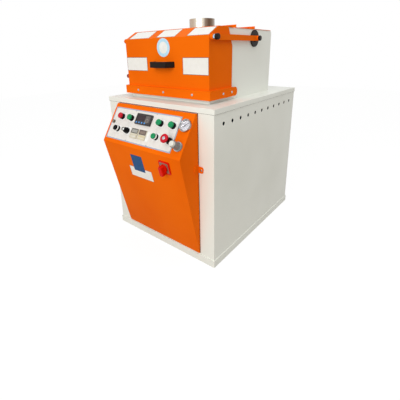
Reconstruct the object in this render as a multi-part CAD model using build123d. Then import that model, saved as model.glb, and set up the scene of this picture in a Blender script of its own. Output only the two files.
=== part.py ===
from build123d import *
from math import atan2, cos, degrees, radians, sin, sqrt
import os

# A vacuum centrifugal casting machine on a floor cabinet.
# Millimetres. X runs to the right and Y to the back as the operator faces it, Z is up.
# The origin is the centre of the cabinet's base, on the floor.

os.makedirs("parts", exist_ok=True)

# Cabinet
top_width = 700.0
top_depth = 844.0
top_height = 770.0
top_sheet = 2.0
top_lip = 22.5
body_inset = 3.0
plinth_overhang = 1.0
plinth_reach = 3.0
plinth_height = 37.0
plinth_sheet = 2.0
plinth_flange = 30.0
panel_sheet = 1.5
tube_size = 30.0
tube_wall = 2.0
floor_sheet = 3.0
vent_count = 11
vent_pitch = 70.0
vent_diameter = 17.5
vent_drop = 71.0

# Front opening and the wedge door in front of it
opening_width = 500.0
opening_sill = 5.0
opening_top_drop = 35.0
opening_return = 12.0
door_lap = 12.0
door_top_drop = 26.5
door_lift = 7.0
door_rim = 12.0
door_foot_rim = 5.0
door_nose_reach = 123.5
slope_height = 173.5
door_sheet = 1.5
door_flange = 14.0
door_gap = 0.8
hinge_offset = 6.0
hinge_radius = 5.0
hinge_clearance = 0.5
hinge_bore_clearance = 0.06
hinge_pin_radius = 3.0
hinge_length = 25.0
hinge_rise = 106.0
hinge_drop = 143.5
hinge_leaf = 30.0
hinge_leaf_sheet = 2.0
latch_height = 492.0
latch_ear_height = 30.0
latch_ear_reach = 28.0
latch_leg_reach = 32.0
latch_leg_height = 33.0
latch_sheet = 3.0
latch_screw_radius = 2.5
latch_screw_head = 5.0
latch_screw_length = 18.0
latch_screw_inset = 9.0
latch_hole_clearance = 1.5
latch_thread_clearance = 0.1

# Controls, placed on the door's sloping face by distance to the right of its middle and down from its middle
plate_left_margin = 12.0
plate_right_margin = 62.0
plate_top_margin = 20.0
plate_bottom_margin = 19.2
plate_sheet = 1.5
plate_screw_inset = 6.0
plate_screw_columns = 4
plate_screw_radius = 2.0
plate_screw_head = 3.6
upper_row = -35.6
lower_row = 29.9
stop_x = -178.0
start_xs = (-108.0, 92.0, 167.5)
lit_start_x = 90.0
black_button_x = -181.0
selector_x = -108.0
selector_rest_turn = 80.0
emergency_x = 177.0
emergency_drop = 32.9
bezel_radius = 14.75
bezel_height = 12.0
barrel_radius = 11.0
barrel_depth = 24.0
contact_block = 27.0
contact_depth = 22.0
barrel_clearance = 0.05
barrel_floor = 2.0
cap_radius = 14.2
ringed_cap_radius = 12.8
cap_height = 8.0
cap_stem_radius = 9.0
cap_stem_clearance = 0.3
cap_stem_length = 13.0
button_travel = 3.5
travel_clearance = 0.5
selector_disc_height = 5.0
selector_grip_length = 27.0
selector_grip_width = 17.0
selector_grip_height = 11.0
emergency_neck_radius = 12.0
emergency_neck_height = 19.5
emergency_cap_radius = 20.0
emergency_cap_height = 6.5
emergency_travel = 5.0
controller_x = -20.0
controller_drop = -38.1
controller_width = 104.0
controller_height = 54.0
controller_bezel = 9.0
controller_body_inset = 6.0
controller_body_depth = 36.0
timer_xs = (-52.5, 4.0)
timer_drop = 34.9
timer_size = 48.0
timer_bezel = 5.5
timer_body_inset = 2.0
timer_body_depth = 46.0
lock_inset = 31.0
lock_drop = -3.1
lock_radius = 8.5
lock_height = 8.0
lock_gap = 0.1
lock_barrel_depth = 22.0
gauge_inset = 29.5
gauge_drop = -46.1
gauge_radius = 28.5
gauge_height = 10.0
gauge_case_radius = 24.0
gauge_case_depth = 26.0
gauge_rim = 3.0
gauge_well = 6.0
needle_length = 18.0
needle_tail = 9.0
needle_width = 1.6
needle_sheet = 0.8
needle_post_radius = 1.4
needle_rest_angle = 225.0
regulator_inset = 30.5
regulator_drop = 48.0
regulator_flange_radius = 21.5
regulator_flange = 8.0
regulator_body_radius = 16.0
regulator_body_depth = 40.0
regulator_knob_radius = 15.5
regulator_knob_height = 31.0
regulator_cap_radius = 12.0
regulator_cap_height = 12.0
regulator_flutes = 20
regulator_flute_radius = 1.5
regulator_stem_radius = 8.0
stem_clearance = 0.06
isolator_inset = 98.0
isolator_drop = 56.5
isolator_size = 62.0
isolator_height = 6.0
isolator_body = 42.0
isolator_body_depth = 44.0
isolator_boss_radius = 19.0
isolator_boss_height = 8.0
isolator_grip_length = 50.0
isolator_grip_width = 22.0
isolator_grip_height = 19.0
isolator_grip_shift = 6.0
isolator_stem_radius = 6.0
control_gap = 0.4

# Chamber housing on the top plate
chamber_side_room = 7.0
chamber_front_room = 37.0
chamber_back_room = 29.0
housing_height = 318.0
housing_sheet = 2.0
housing_flange = 20.0
curb_height = 30.0
mouth_reach = 75.0
mouth_step = 38.0
housing_corner = 15.0
lintel_depth = 22.0
flue_room = 1.0
roof_split_gap = 5.0
roof_sheet = 2.0
roof_upstand = 12.0
roof_overhang = 2.4

# Spin axis and what turns about it
axis_y = -42.0
flue_radius = 66.0
flue_wall = 1.5
flue_height = 58.0
flue_flange = 20.0
bowl_radius = 217.0
bowl_wall = 2.0
bowl_flange = 16.0
bowl_depth = 90.0
bowl_hole_clearance = 1.5
bowl_neck_radius = 62.0
bowl_neck_height = 20.0
spindle_radius = 25.0
spindle_flange_radius = 52.0
spindle_flange = 12.0
spindle_gap = 3.0
spindle_below = 10.0
turntable_radius = 180.0
turntable_plate = 15.0
post_radius = 12.0
post_inset = 20.0
post_count = 3
post_height = 130.0
pressure_plate = 15.0
pour_hole_radius = 50.0
lift_plate_room = 6.0
lift_plate = 12.0
lift_plate_gap = 0.5
lift_travel = 60.0
push_rod_radius = 10.0
push_rod_clearance = 0.08
rod_tip_gap = 0.3
rod_end_gap = 5.0
bearing_outer = 45.0
bearing_width = 20.0
bearing_clearance = 0.03
seat_clearance = 0.02
shaft_hole_gap = 5.0
bearing_inset = 8.0
bearing_housing_radius = 66.0
bearing_shoulder_radius = 38.0
bearing_flange_radius = 92.0
bearing_flange = 14.0
bearing_plate_height = 480.0
bearing_plate = 10.0
bearing_plate_width = 300.0
pulley_radius = 80.0
pulley_width = 30.0
pulley_drop = 45.0
groove_width = 13.0
groove_depth = 9.0
belt_gap = 0.3
belt_thickness = 8.0

# Motor, clamp cylinder and vacuum pump in the cabinet
motor_gap = 5.0
motor_radius = 75.0
motor_length = 160.0
motor_flange_radius = 100.0
motor_flange = 12.0
motor_cowl = 45.0
motor_fin_count = 24
motor_fin = 5.0
motor_shaft_radius = 12.0
motor_shaft_clearance = 0.08
motor_shaft_reach = 60.0
motor_bore_room = 2.0
motor_pulley_radius = 42.35
motor_box = 80.0
stand_width = 220.0
stand_depth = 140.0
cylinder_radius = 40.0
cylinder_cap = 22.0
cylinder_wall = 4.0
cylinder_end_room = 7.0
piston_width = 14.0
piston_clearance = 0.1
rod_showing = 32.7
cylinder_rod_radius = 10.0
cylinder_rod_clearance = 0.08
cylinder_cup_radius = 18.0
cylinder_cup = 12.0
pump_inlet_side = 45.0
pump_inlet_back = 18.0
pump_width = 130.0
pump_block_length = 120.0
pump_height = 170.0
pump_motor_radius = 60.0
pump_motor_length = 160.0
pipe_radius = 14.0
pipe_wall = 1.5
pipe_room = 11.0
pipe_stub = 8.0
pipe_flange = 12.0
pipe_hole_gap = 0.3
gland_x = 180.0
gland_z = 92.0
gland_radius = 14.0
gland_bore = 6.5
gland_length = 26.0
rear_slot_count = 8
rear_slot_pitch = 18.0
rear_slot_length = 220.0
rear_slot_width = 6.0
rear_slot_top = 470.0

# Hood
hood_side_gap = 4.5
hood_front_gap = 8.5
hood_sheet = 1.5
facet_depth = 70.0
facet_rise = 39.0
hood_top_gap = 1.5
hood_roof_gap = 15.0
hood_side_inset = 34.0
hood_step_drop = 78.0
hood_roof_overhang = 52.0
skirt_side_reach = 13.0
skirt_front_reach = 12.4
skirt_lift = 17.5
skirt_hang = 4.5
skirt_height = 41.0
skirt_overrun = 29.0
skirt_corner = 17.0
skirt_screw_pitch = 180.0
skirt_front_screw_inset = 88.0
skirt_back_screw_inset = 19.0
skirt_screw_height = 20.0
skirt_screw_radius = 2.5
skirt_screw_head = 5.5
screw_head_height = 2.6
handle_rise = 143.0
handle_x = 2.0
handle_length = 136.0
handle_bar_length = 98.0
handle_depth = 46.0
handle_height = 27.0
handle_bar = 12.0
handle_foot = 15.0
handle_corner = 8.0
handle_fillet = 3.0

# Hood arms and pivots
pivot_y = 48.0
pivot_drop = 42.0
arm_height = 24.0
arm_thickness = 8.0
arm_boss = 6.0
arm_front_inset = 16.0
arm_boss_inset = 36.0
pivot_disc_radius = 40.0
pivot_disc = 6.0
pivot_disc_gap = 0.3
pivot_pin_radius = 8.0
pivot_pin_clearance = 0.05
pivot_head_radius = 14.0
pivot_head = 8.0
arm_cap_radius = 12.5
arm_cap_length = 9.0
arm_cap_wall = 3.0
arm_spacer = 8.0
knob_collar_radius = 10.0
knob_collar = 10.0
knob_length = 14.0
knob_radius = 12.5
catch_knob_inset = 16.0
catch_knob_rise = 80.0
catch_knob_radius = 11.0
catch_knob_length = 24.0

# Sizes that follow from the ones above
body_half_width = top_width / 2 - body_inset
body_half_depth = top_depth / 2 - 2.0
plinth_half_width = top_width / 2 + plinth_overhang
plinth_half_depth = top_depth / 2 + plinth_reach
body_front = -body_half_depth
body_back = body_half_depth
top_underside = top_height - top_sheet
floor_top = plinth_height + tube_size + floor_sheet
tube_outer_x = body_half_width - panel_sheet
tube_outer_y = body_half_depth - panel_sheet
opening_bottom = floor_top + opening_sill
opening_top = top_height - opening_top_drop
door_top = top_height - door_top_drop
door_bottom = plinth_height + door_lift
door_back = body_front - door_gap
door_rim_y = door_back - (door_rim - door_gap)
door_foot_y = door_back - (door_foot_rim - door_gap)
door_nose_y = body_front - door_nose_reach
door_nose_height = door_top - slope_height
door_half = opening_width / 2 + door_lap
hinge_heights = (door_bottom + hinge_rise, door_top - hinge_drop)
hinge_x = -door_half - hinge_offset
hinge_y = body_front - hinge_clearance - hinge_radius
bowl_reach = bowl_radius + bowl_flange + housing_flange
housing_half = bowl_reach + chamber_side_room
housing_front = axis_y - bowl_reach - chamber_front_room
housing_back = axis_y + bowl_reach + chamber_back_room
housing_top = top_height + housing_height
roof_top = housing_top + roof_sheet
roof_front = axis_y - flue_radius - flue_flange - roof_sheet
roof_split = axis_y + flue_radius + flue_flange + flue_room - roof_split_gap / 2
mouth_back = roof_front - mouth_reach
skirt_bottom = top_height + skirt_lift
skirt_top = skirt_bottom + skirt_height
hood_half = housing_half + hood_side_gap + hood_sheet
hood_front = housing_front - hood_front_gap - hood_sheet
hood_bottom = skirt_bottom + skirt_hang
hood_roof_top = housing_top + hood_top_gap + hood_sheet
hood_roof_back = roof_front - hood_roof_gap
hood_bend_height = hood_roof_top - facet_rise
hood_side_back = roof_front - hood_side_inset
hood_side_step = housing_top - hood_step_drop
skirt_half = hood_half + skirt_side_reach
skirt_front = hood_front - skirt_front_reach
skirt_back = hood_side_back + skirt_overrun
handle_z = hood_bottom + handle_rise
pivot_z = housing_top - pivot_drop
arm_front = hood_front + arm_front_inset
arm_second_boss = hood_side_back - arm_boss_inset
catch_knob_y = hood_front + catch_knob_inset
catch_knob_z = hood_bottom + catch_knob_rise
bowl_bottom = top_height - bowl_depth
bowl_floor_top = bowl_bottom + bowl_wall
turntable_bottom = bowl_floor_top + bowl_neck_height + spindle_gap + spindle_flange
turntable_top = turntable_bottom + turntable_plate
pressure_bottom = turntable_top + post_height
post_circle = turntable_radius - post_inset
lift_plate_radius = post_circle - post_radius - lift_plate_room
bearing_plate_top = bearing_plate_height + bearing_plate
pulley_top = bearing_plate_height - pulley_drop
pulley_bottom = pulley_top - pulley_width
pulley_middle = (pulley_top + pulley_bottom) / 2
spindle_bottom = pulley_bottom - spindle_below
lift_plate_bottom = turntable_top + lift_plate_gap
push_rod_bottom = spindle_bottom - lift_travel - rod_end_gap
cylinder_top = push_rod_bottom - rod_tip_gap - cylinder_cup - rod_showing
cylinder_bottom = cylinder_top - 2 * cylinder_cap - piston_width - lift_travel - cylinder_end_room
motor_y = axis_y + bowl_radius + motor_gap + motor_radius + motor_fin
pipe_x = -(bowl_radius - bowl_wall - pipe_radius - pipe_room)
pipe_y = axis_y
pump_x = pipe_x - pump_inlet_side
pump_y = pipe_y - pump_inlet_back
pump_inlet_top = floor_top + pump_height + 20.0
latch_screw_x = door_half + latch_ear_reach - latch_screw_inset
cap_start = plate_sheet + bezel_height
arm_inner = hood_half + arm_boss
arm_outer = arm_inner + arm_thickness
knob_start = arm_outer + knob_collar


def block(x0, x1, y0, y1, z0, z1):
    """A box between two corners."""
    size = (abs(x1 - x0), abs(y1 - y0), abs(z1 - z0))
    middle = ((x0 + x1) / 2, (y0 + y1) / 2, (z0 + z1) / 2)
    return Pos(*middle) * Box(*size)


def post(x, y, z0, z1, radius):
    """An upright cylinder."""
    return Pos(x, y, (z0 + z1) / 2) * Cylinder(radius, abs(z1 - z0))


def ring(x, y, z0, z1, outer, inner):
    """An upright tube."""
    return post(x, y, z0, z1, outer) - post(x, y, z0 - 1, z1 + 1, inner)


def pin_x(x0, x1, y, z, radius):
    """A cylinder along X."""
    return Pos((x0 + x1) / 2, y, z) * Rot(0, 90, 0) * Cylinder(radius, abs(x1 - x0))


def pin_y(x, y0, y1, z, radius):
    """A cylinder along Y."""
    return Pos(x, (y0 + y1) / 2, z) * Rot(90, 0, 0) * Cylinder(radius, abs(y1 - y0))


def side_profile(points, x0, x1):
    """A solid between two X planes, whose outline is given as (y, z) points."""
    outline = Polyline(*[(0, y, z) for y, z in points], close=True)
    face = make_face(outline)
    swept = extrude(face, amount=abs(x1 - x0), dir=(1, 0, 0))
    return Pos(min(x0, x1), 0, 0) * swept


def mirrored(shape):
    """The same shape on the other side of the machine."""
    return mirror(shape, about=Plane.YZ)


def inset(points, distance):
    """The outline of (y, z) points moved inward by one distance; the points run clockwise seen from +X."""
    count = len(points)
    moved = []
    for i in range(count):
        (y0, z0), (y1, z1), (y2, z2) = points[i - 1], points[i], points[(i + 1) % count]
        a = sqrt((y1 - y0) ** 2 + (z1 - z0) ** 2)
        b = sqrt((y2 - y1) ** 2 + (z2 - z1) ** 2)
        n0 = ((z1 - z0) / a, -(y1 - y0) / a)
        n1 = ((z2 - z1) / b, -(y2 - y1) / b)
        scale = distance / (1 + n0[0] * n1[0] + n0[1] * n1[1])
        moved.append((y1 + (n0[0] + n1[0]) * scale, z1 + (n0[1] + n1[1]) * scale))
    return moved


def save(node, *solids):
    """Writes one node; several solids stay separate solids."""
    shape = solids[0] if len(solids) == 1 else Compound([s.solid() for s in solids])
    export_step(shape, f"parts/{node}.step")


# The two sloping faces of the door carry the controls
slope_run = door_rim_y - door_nose_y
slope_rise = slope_height
slope_length = sqrt(slope_run ** 2 + slope_rise ** 2)
slope_angle = degrees(atan2(slope_run, slope_rise))
under_rise = door_nose_height - door_bottom
under_angle = degrees(atan2(door_foot_y - door_nose_y, under_rise))
control_face = Plane(
    origin=(0, (door_rim_y + door_nose_y) / 2, (door_top + door_nose_height) / 2),
    x_dir=(1, 0, 0),
    z_dir=(0, -cos(radians(slope_angle)), sin(radians(slope_angle))),
)
under_face = Plane(
    origin=(0, door_nose_y, door_nose_height),
    x_dir=(1, 0, 0),
    z_dir=(0, -cos(radians(under_angle)), -sin(radians(under_angle))),
)
plate_left = -door_half + plate_left_margin
plate_right = door_half - plate_right_margin
plate_top = -slope_length / 2 + plate_top_margin
plate_bottom = slope_length / 2 - plate_bottom_margin
lock_x = -door_half + lock_inset
gauge_x = door_half - gauge_inset
regulator_x = door_half - regulator_inset
isolator_x = door_half - isolator_inset


def stand(face, x, drop, shape):
    """Stands a shape, made about the origin with its top up, on a sloping face."""
    return face.location * Pos(x, -drop, 0) * shape


def disc(out0, out1, radius):
    return Pos(0, 0, (out0 + out1) / 2) * Cylinder(radius, out1 - out0)


def slab(out0, out1, width, height, corner=0.0):
    shape = RectangleRounded(width, height, corner) if corner else Rectangle(width, height)
    return Pos(0, 0, out0) * extrude(shape, amount=out1 - out0)


def top_circle(shape):
    """The highest round edge, the outermost where two lie level."""
    level = shape.edges().filter_by(GeomType.CIRCLE).group_by(Axis.Z)[-1]
    return level.sort_by(SortBy.RADIUS)[-1]


def end_circle(shape, axis, last=True):
    return shape.edges().filter_by(GeomType.CIRCLE).sort_by(axis)[-1 if last else 0]


def upright_tube(x0, x1, y0, y1, z0, z1):
    """A square tube that stands, open at both ends."""
    wall = tube_wall
    return block(x0, x1, y0, y1, z0, z1) - block(x0 + wall, x1 - wall, y0 + wall, y1 - wall, z0 - 1, z1 + 1)


def rail_x(x0, x1, y0, z0):
    """A channel along X, open below, with its corner at y0, z0."""
    wall, size = tube_wall, tube_size
    rail = block(x0, x1, y0, y0 + size, z0, z0 + size)
    return rail - block(x0 - 1, x1 + 1, y0 + wall, y0 + size - wall, z0 - 1, z0 + size - wall)


def rail_y(x0, y0, y1, z0):
    """A channel along Y, open below, with its corner at x0, z0."""
    wall, size = tube_wall, tube_size
    rail = block(x0, x0 + size, y0, y1, z0, z0 + size)
    return rail - block(x0 + wall, x0 + size - wall, y0 - 1, y1 + 1, z0 - 1, z0 + size - wall)


# Cabinet

def make_plinth():
    x, y = plinth_half_width, plinth_half_depth
    outer = block(-x, x, -y, y, 0, plinth_height)
    wx, wy = x - plinth_sheet, y - plinth_sheet
    fx, fy = x - plinth_flange, y - plinth_flange
    channel = block(-wx, wx, -wy, wy, plinth_sheet, plinth_height - plinth_sheet)
    middle = block(-fx, fx, -fy, fy, -1, plinth_height + 1)
    return outer - channel - middle


def make_frame():
    """The welded frame: four posts, rings of rails, the floor and the mounting plates."""
    x_out, y_out, t = tube_outer_x, tube_outer_y, tube_size
    x_in, y_in = x_out - t, y_out - t
    frame = upright_tube(x_in, x_out, y_in, y_out, plinth_height, top_underside)
    frame += upright_tube(-x_out, -x_in, y_in, y_out, plinth_height, top_underside)
    frame += upright_tube(x_in, x_out, -y_out, -y_in, plinth_height, top_underside)
    frame += upright_tube(-x_out, -x_in, -y_out, -y_in, plinth_height, top_underside)
    for z in (plinth_height, top_underside - t):
        for y in (-y_out, y_in):
            frame += rail_x(-x_in, x_in, y, z)
        for x in (-x_out, x_in):
            frame += rail_y(x, -y_in, y_in, z)
    # Side rails carry pairs of cross rails under the spindle's plate and the motor's plate
    level = bearing_plate_height - t
    for x in (-x_out, x_in):
        frame += rail_y(x, -y_in, y_in, level)
    for front, back in (bearing_plate_span(), motor_plate_span()):
        frame += rail_x(-x_in, x_in, front, level)
        frame += rail_x(-x_in, x_in, back - t, level)
    # Cross rails under the chamber housing
    for y in (housing_front, housing_back):
        frame += rail_x(-x_in, x_in, y - t / 2, top_underside - t)
    half = bearing_plate_width / 2
    for front, back in (bearing_plate_span(), motor_plate_span()):
        frame += block(-half, half, front, back, bearing_plate_height, bearing_plate_top)
    frame += block(-x_out, x_out, -y_in, y_in, floor_top - floor_sheet, floor_top)
    frame += block(-x_in, x_in, -y_out, y_out, floor_top - floor_sheet, floor_top)
    low, high = bearing_plate_height - 1, bearing_plate_top + 1
    frame += cylinder_stand()
    frame -= post(0, axis_y, low, high, spindle_radius + shaft_hole_gap)
    frame -= post(0, motor_y, low, high, motor_shaft_radius + shaft_hole_gap)
    return frame - latch_hole()


def latch_hole():
    """The hole for the latch screw, through the stile and whatever of the frame stands behind it."""
    end = door_back + latch_screw_length
    return pin_y(latch_screw_x, body_front - 1, end, latch_height, latch_screw_radius + latch_hole_clearance)


def bearing_plate_span():
    """Front and back of the plate that carries the spindle."""
    half = bearing_plate_width / 2
    return axis_y - half, axis_y + half


def motor_plate_span():
    reach = motor_flange_radius + 8
    return motor_y - reach, motor_y + reach


def cylinder_stand():
    """A folded stand on the floor, under the clamp cylinder."""
    half, deep = stand_width / 2, stand_depth / 2
    top = cylinder_bottom
    front, back = axis_y - deep, axis_y + deep
    inner = half - bearing_plate
    tunnel = block(-inner, inner, front - 1, back + 1, floor_top - 1, top - bearing_plate)
    return block(-half, half, front, back, floor_top, top) - tunnel


def make_front_frame():
    half, x, back = opening_width / 2, body_half_width, body_front + panel_sheet
    front = block(-x, x, body_front, back, plinth_height, top_underside)
    front -= block(-half, half, body_front - 1, body_front + 2, opening_bottom, opening_top)
    fold = block(-half - panel_sheet, half + panel_sheet, body_front, body_front + opening_return,
                 opening_bottom - panel_sheet, opening_top + panel_sheet)
    fold -= block(-half, half, body_front - 1, body_front + opening_return + 1, opening_bottom, opening_top)
    return front + fold - latch_hole()


def make_side_panel(side):
    x0 = side * (body_half_width - panel_sheet)
    x1 = side * body_half_width
    reach = body_half_depth - panel_sheet
    panel = block(x0, x1, -reach, reach, plinth_height, top_underside)
    first = -vent_pitch * (vent_count - 1) / 2
    z = top_height - vent_drop
    places = [first + i * vent_pitch for i in range(vent_count)]
    return panel - [pin_x(x0 - side * 2, x1 + side * 2, y, z, vent_diameter / 2) for y in places]


def make_rear_panel():
    x = body_half_width
    panel = block(-x, x, body_back - panel_sheet, body_back, plinth_height, top_underside)
    slots = []
    for i in range(rear_slot_count):
        z = rear_slot_top - i * rear_slot_pitch
        slots.append(block(-rear_slot_length / 2, rear_slot_length / 2, body_back - 3, body_back + 3,
                           z - rear_slot_width / 2, z + rear_slot_width / 2))
    panel -= slots
    return panel - pin_y(gland_x, body_back - 3, body_back + 3, gland_z, gland_radius - 4)


def make_top_plate():
    half_w, half_d = top_width / 2, top_depth / 2
    plate = block(-half_w, half_w, -half_d, half_d, top_underside, top_height)
    low = top_height - top_lip
    lip = block(-half_w, half_w, -half_d, half_d, low, top_underside)
    in_w, in_d = half_w - top_sheet, half_d - top_sheet
    lip -= block(-in_w, in_w, -in_d, in_d, low - 1, top_height)
    plate = plate + lip
    edges = plate.edges().group_by(Axis.Z)[-1].sort_by(SortBy.LENGTH)[-4:]
    plate = fillet(edges, top_sheet * 0.6)
    return plate - post(0, axis_y, top_underside - 1, top_height + 1, bowl_radius + bowl_hole_clearance)


# Wedge door

def door_outline():
    return [
        (door_back, door_bottom),
        (door_foot_y, door_bottom),
        (door_nose_y, door_nose_height),
        (door_rim_y, door_top),
        (door_back, door_top),
    ]


def make_door():
    outline = door_outline()
    shell = side_profile(outline, -door_half, door_half)
    shell -= side_profile(inset(outline, door_sheet), -door_half + door_sheet, door_half - door_sheet)
    open_half = door_half - door_flange
    shell -= block(-open_half, open_half, door_back - 2 * door_sheet, door_back + 1,
                   door_bottom + door_flange, door_top - door_flange)
    door = shell + latch_leg() + latch_ear()
    hole = latch_screw_radius + latch_thread_clearance
    door -= pin_y(latch_screw_x, door_back - latch_sheet - 1, door_back + 1, latch_height, hole)
    for z in hinge_heights:
        door += door_knuckle(z)
        door -= post(hinge_x, hinge_y, z, z + 2 * hinge_length + 1, hinge_pin_radius + hinge_bore_clearance)
    return door - control_holes()


def latch_leg():
    """The part of the latch tab that lies on the door's right cheek."""
    high = latch_height + latch_leg_height / 2 + 5
    leg = block(door_half, door_half + latch_sheet, door_back - latch_leg_reach, door_back,
                high - latch_leg_height, high)
    return fillet(leg.edges().filter_by(Axis.X).group_by(Axis.Y)[0], 8)


def latch_ear():
    """The part of the latch tab that lies in front of the stile."""
    low = latch_height - latch_ear_height / 2
    high = low + latch_ear_height
    ear = block(door_half, door_half + latch_ear_reach, door_back - latch_sheet, door_back, low, high)
    return fillet(ear.edges().filter_by(Axis.Y).group_by(Axis.X)[-1], 9)


def door_knuckle(z):
    """The door's half of a hinge, which turns on the fixed half below it."""
    low, high = z + hinge_length + 0.3, z + 2 * hinge_length
    knuckle = post(hinge_x, hinge_y, low, high, hinge_radius)
    return knuckle + block(hinge_x, -door_half, hinge_y - 3, hinge_y + 2, low, high)


def control_holes():
    """Every hole through the door's sloping sheets and the control plate."""
    low, high = -door_sheet - 2, plate_sheet + 2
    gap = barrel_clearance
    face = control_face
    holes = [stand(face, x, drop, disc(low, high, barrel_radius + gap)) for x, drop in barrel_places()]
    screw_hole = disc(low, high, plate_screw_radius + gap)
    holes += [stand(face, x, drop, screw_hole) for x, drop in plate_screw_places()]
    holes.append(stand(face, lock_x, lock_drop, disc(low, high, lock_radius - 2 + gap)))
    holes.append(stand(face, gauge_x, gauge_drop, disc(low, high, gauge_case_radius + gap)))
    holes.append(stand(face, regulator_x, regulator_drop, disc(low, high, regulator_body_radius + gap)))
    body_w = controller_width - controller_body_inset + gap
    body_h = controller_height - controller_body_inset + gap
    holes.append(stand(face, controller_x, controller_drop, slab(low, high, body_w, body_h)))
    side = timer_size - 2 * timer_body_inset + gap
    holes += [stand(face, x, timer_drop, slab(low, high, side, side)) for x in timer_xs]
    square = isolator_body + gap
    holes.append(stand(under_face, isolator_x, isolator_drop, slab(low, high, square, square)))
    return holes


def barrel_places():
    """Where the 22 mm control bodies go through the plate."""
    places = [(stop_x, upper_row)]
    places += [(x, upper_row) for x in start_xs]
    places += [(lit_start_x, lower_row)]
    places += [(black_button_x, lower_row), (selector_x, lower_row)]
    return places + [(emergency_x, emergency_drop)]


def plate_screw_places():
    left = plate_left + plate_screw_inset
    step = (plate_right - plate_left - 2 * plate_screw_inset) / (plate_screw_columns - 1)
    rows = (plate_top + plate_screw_inset, plate_bottom - plate_screw_inset)
    return [(left + i * step, row) for row in rows for i in range(plate_screw_columns)]


def make_control_plate():
    x = (plate_left + plate_right) / 2
    drop = (plate_top + plate_bottom) / 2
    plate = slab(0, plate_sheet, plate_right - plate_left, plate_bottom - plate_top, 3)
    return stand(control_face, x, drop, plate) - control_holes()


def make_plate_screw(x, drop):
    screw = disc(plate_sheet, plate_sheet + 1.6, plate_screw_head) + disc(-8, plate_sheet, plate_screw_radius)
    screw -= slab(plate_sheet + 0.9, plate_sheet + 3, 2 * plate_screw_head + 1, 1.0)
    return stand(control_face, x, drop, screw)


def make_bezel(x, drop):
    """A 22 mm control body: bezel, threaded barrel and contact block."""
    bezel = disc(plate_sheet, cap_start, bezel_radius)
    bezel = chamfer(top_circle(bezel), 1.6)
    body = bezel + disc(-barrel_depth, plate_sheet, barrel_radius)
    body += slab(-barrel_depth - contact_depth, -barrel_depth, contact_block, contact_block, 2)
    body -= disc(-barrel_floor, cap_start + 1, cap_stem_radius + cap_stem_clearance)
    return stand(control_face, x, drop, body)


def make_cap(x, drop, radius=cap_radius):
    """A button cap, which clears its bezel when it is pressed all the way."""
    low = cap_start + button_travel + travel_clearance
    cap = disc(low, low + cap_height, radius)
    cap = fillet(top_circle(cap), 2.2)
    cap += disc(low - cap_stem_length, low, cap_stem_radius)
    return stand(control_face, x, drop, cap)


def make_selector(x, drop):
    low = cap_start + control_gap
    high = low + selector_disc_height + selector_grip_height
    grip = slab(low, high, selector_grip_width, selector_grip_length, selector_grip_width * 0.45)
    grip = fillet(grip.faces().sort_by(Axis.Z)[-1].edges(), 1.5)
    grip = Rot(0, 0, selector_rest_turn) * grip
    knob = grip + disc(low, low + selector_disc_height, ringed_cap_radius) + disc(0, low, cap_stem_radius)
    return stand(control_face, x, drop, knob)


def make_emergency_head():
    low = cap_start + emergency_travel + travel_clearance
    neck_top = low + emergency_neck_height
    head = disc(neck_top, neck_top + emergency_cap_height, emergency_cap_radius)
    head = fillet(top_circle(head), 3)
    head += disc(low, neck_top, emergency_neck_radius)
    head += disc(low - cap_stem_length, low, cap_stem_radius)
    return stand(control_face, emergency_x, emergency_drop, head)


def make_controller():
    top = plate_sheet + controller_bezel
    body_w = controller_width - controller_body_inset
    body_h = controller_height - controller_body_inset
    unit = slab(plate_sheet, top, controller_width, controller_height, 3)
    unit += slab(-controller_body_depth, plate_sheet, body_w, body_h)
    unit -= slab(top - 1.2, top + 1, controller_width - 12, controller_height - 12, 2)
    return stand(control_face, controller_x, controller_drop, unit)


def make_timer(x):
    """A panel timer with a window above and a keypad below, both a little sunk."""
    top = plate_sheet + timer_bezel
    side = timer_size - 2 * timer_body_inset
    unit = slab(plate_sheet, top, timer_size, timer_size, 1.5)
    unit += slab(-timer_body_depth, plate_sheet, side, side)
    unit -= Pos(0, timer_size / 4, 0) * slab(top - 1.0, top + 1, timer_size - 8, timer_size / 2 - 6)
    unit -= Pos(0, -timer_size / 4, 0) * slab(top - 0.6, top + 1, timer_size - 8, timer_size / 2 - 5)
    return stand(control_face, x, timer_drop, unit)


def make_lock():
    """A quarter-turn lock with a slot."""
    low = plate_sheet + lock_gap
    lock = disc(low, low + lock_height, lock_radius) + disc(-lock_barrel_depth, low, lock_radius - 2)
    lock = chamfer(top_circle(lock), 0.8)
    lock -= slab(low + lock_height - 2.5, low + lock_height + 1, 1.8, 9)
    return stand(control_face, lock_x, lock_drop, lock)


def make_gauge():
    floor = gauge_height - gauge_well
    gauge = disc(0, gauge_height, gauge_radius) + disc(-gauge_case_depth, 0, gauge_case_radius)
    gauge -= disc(floor, gauge_height + 1, gauge_radius - gauge_rim)
    gauge += disc(floor - 1, floor + 1, 3.5)
    gauge -= disc(floor - 3, floor + 2, needle_post_radius + stem_clearance)
    return stand(control_face, gauge_x, gauge_drop, gauge)


def make_needle():
    floor = gauge_height - gauge_well
    low = floor + 1 + control_gap
    reach = needle_length + needle_tail
    pointer = slab(low + 0.2, low + 0.2 + needle_sheet, reach, needle_width)
    pointer = Pos(reach / 2 - needle_tail, 0, 0) * pointer
    needle = Rot(0, 0, needle_rest_angle) * pointer + disc(low, low + 1.6, 2.6)
    needle += disc(floor - 2, low, needle_post_radius)
    return stand(control_face, gauge_x, gauge_drop, needle)


def make_regulator_body():
    body = disc(0, regulator_flange, regulator_flange_radius)
    body = chamfer(top_circle(body), 2)
    body += disc(-regulator_body_depth, 0, regulator_body_radius)
    body -= disc(-12, regulator_flange + 1, regulator_stem_radius + stem_clearance)
    return stand(control_face, regulator_x, regulator_drop, body)


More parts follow.
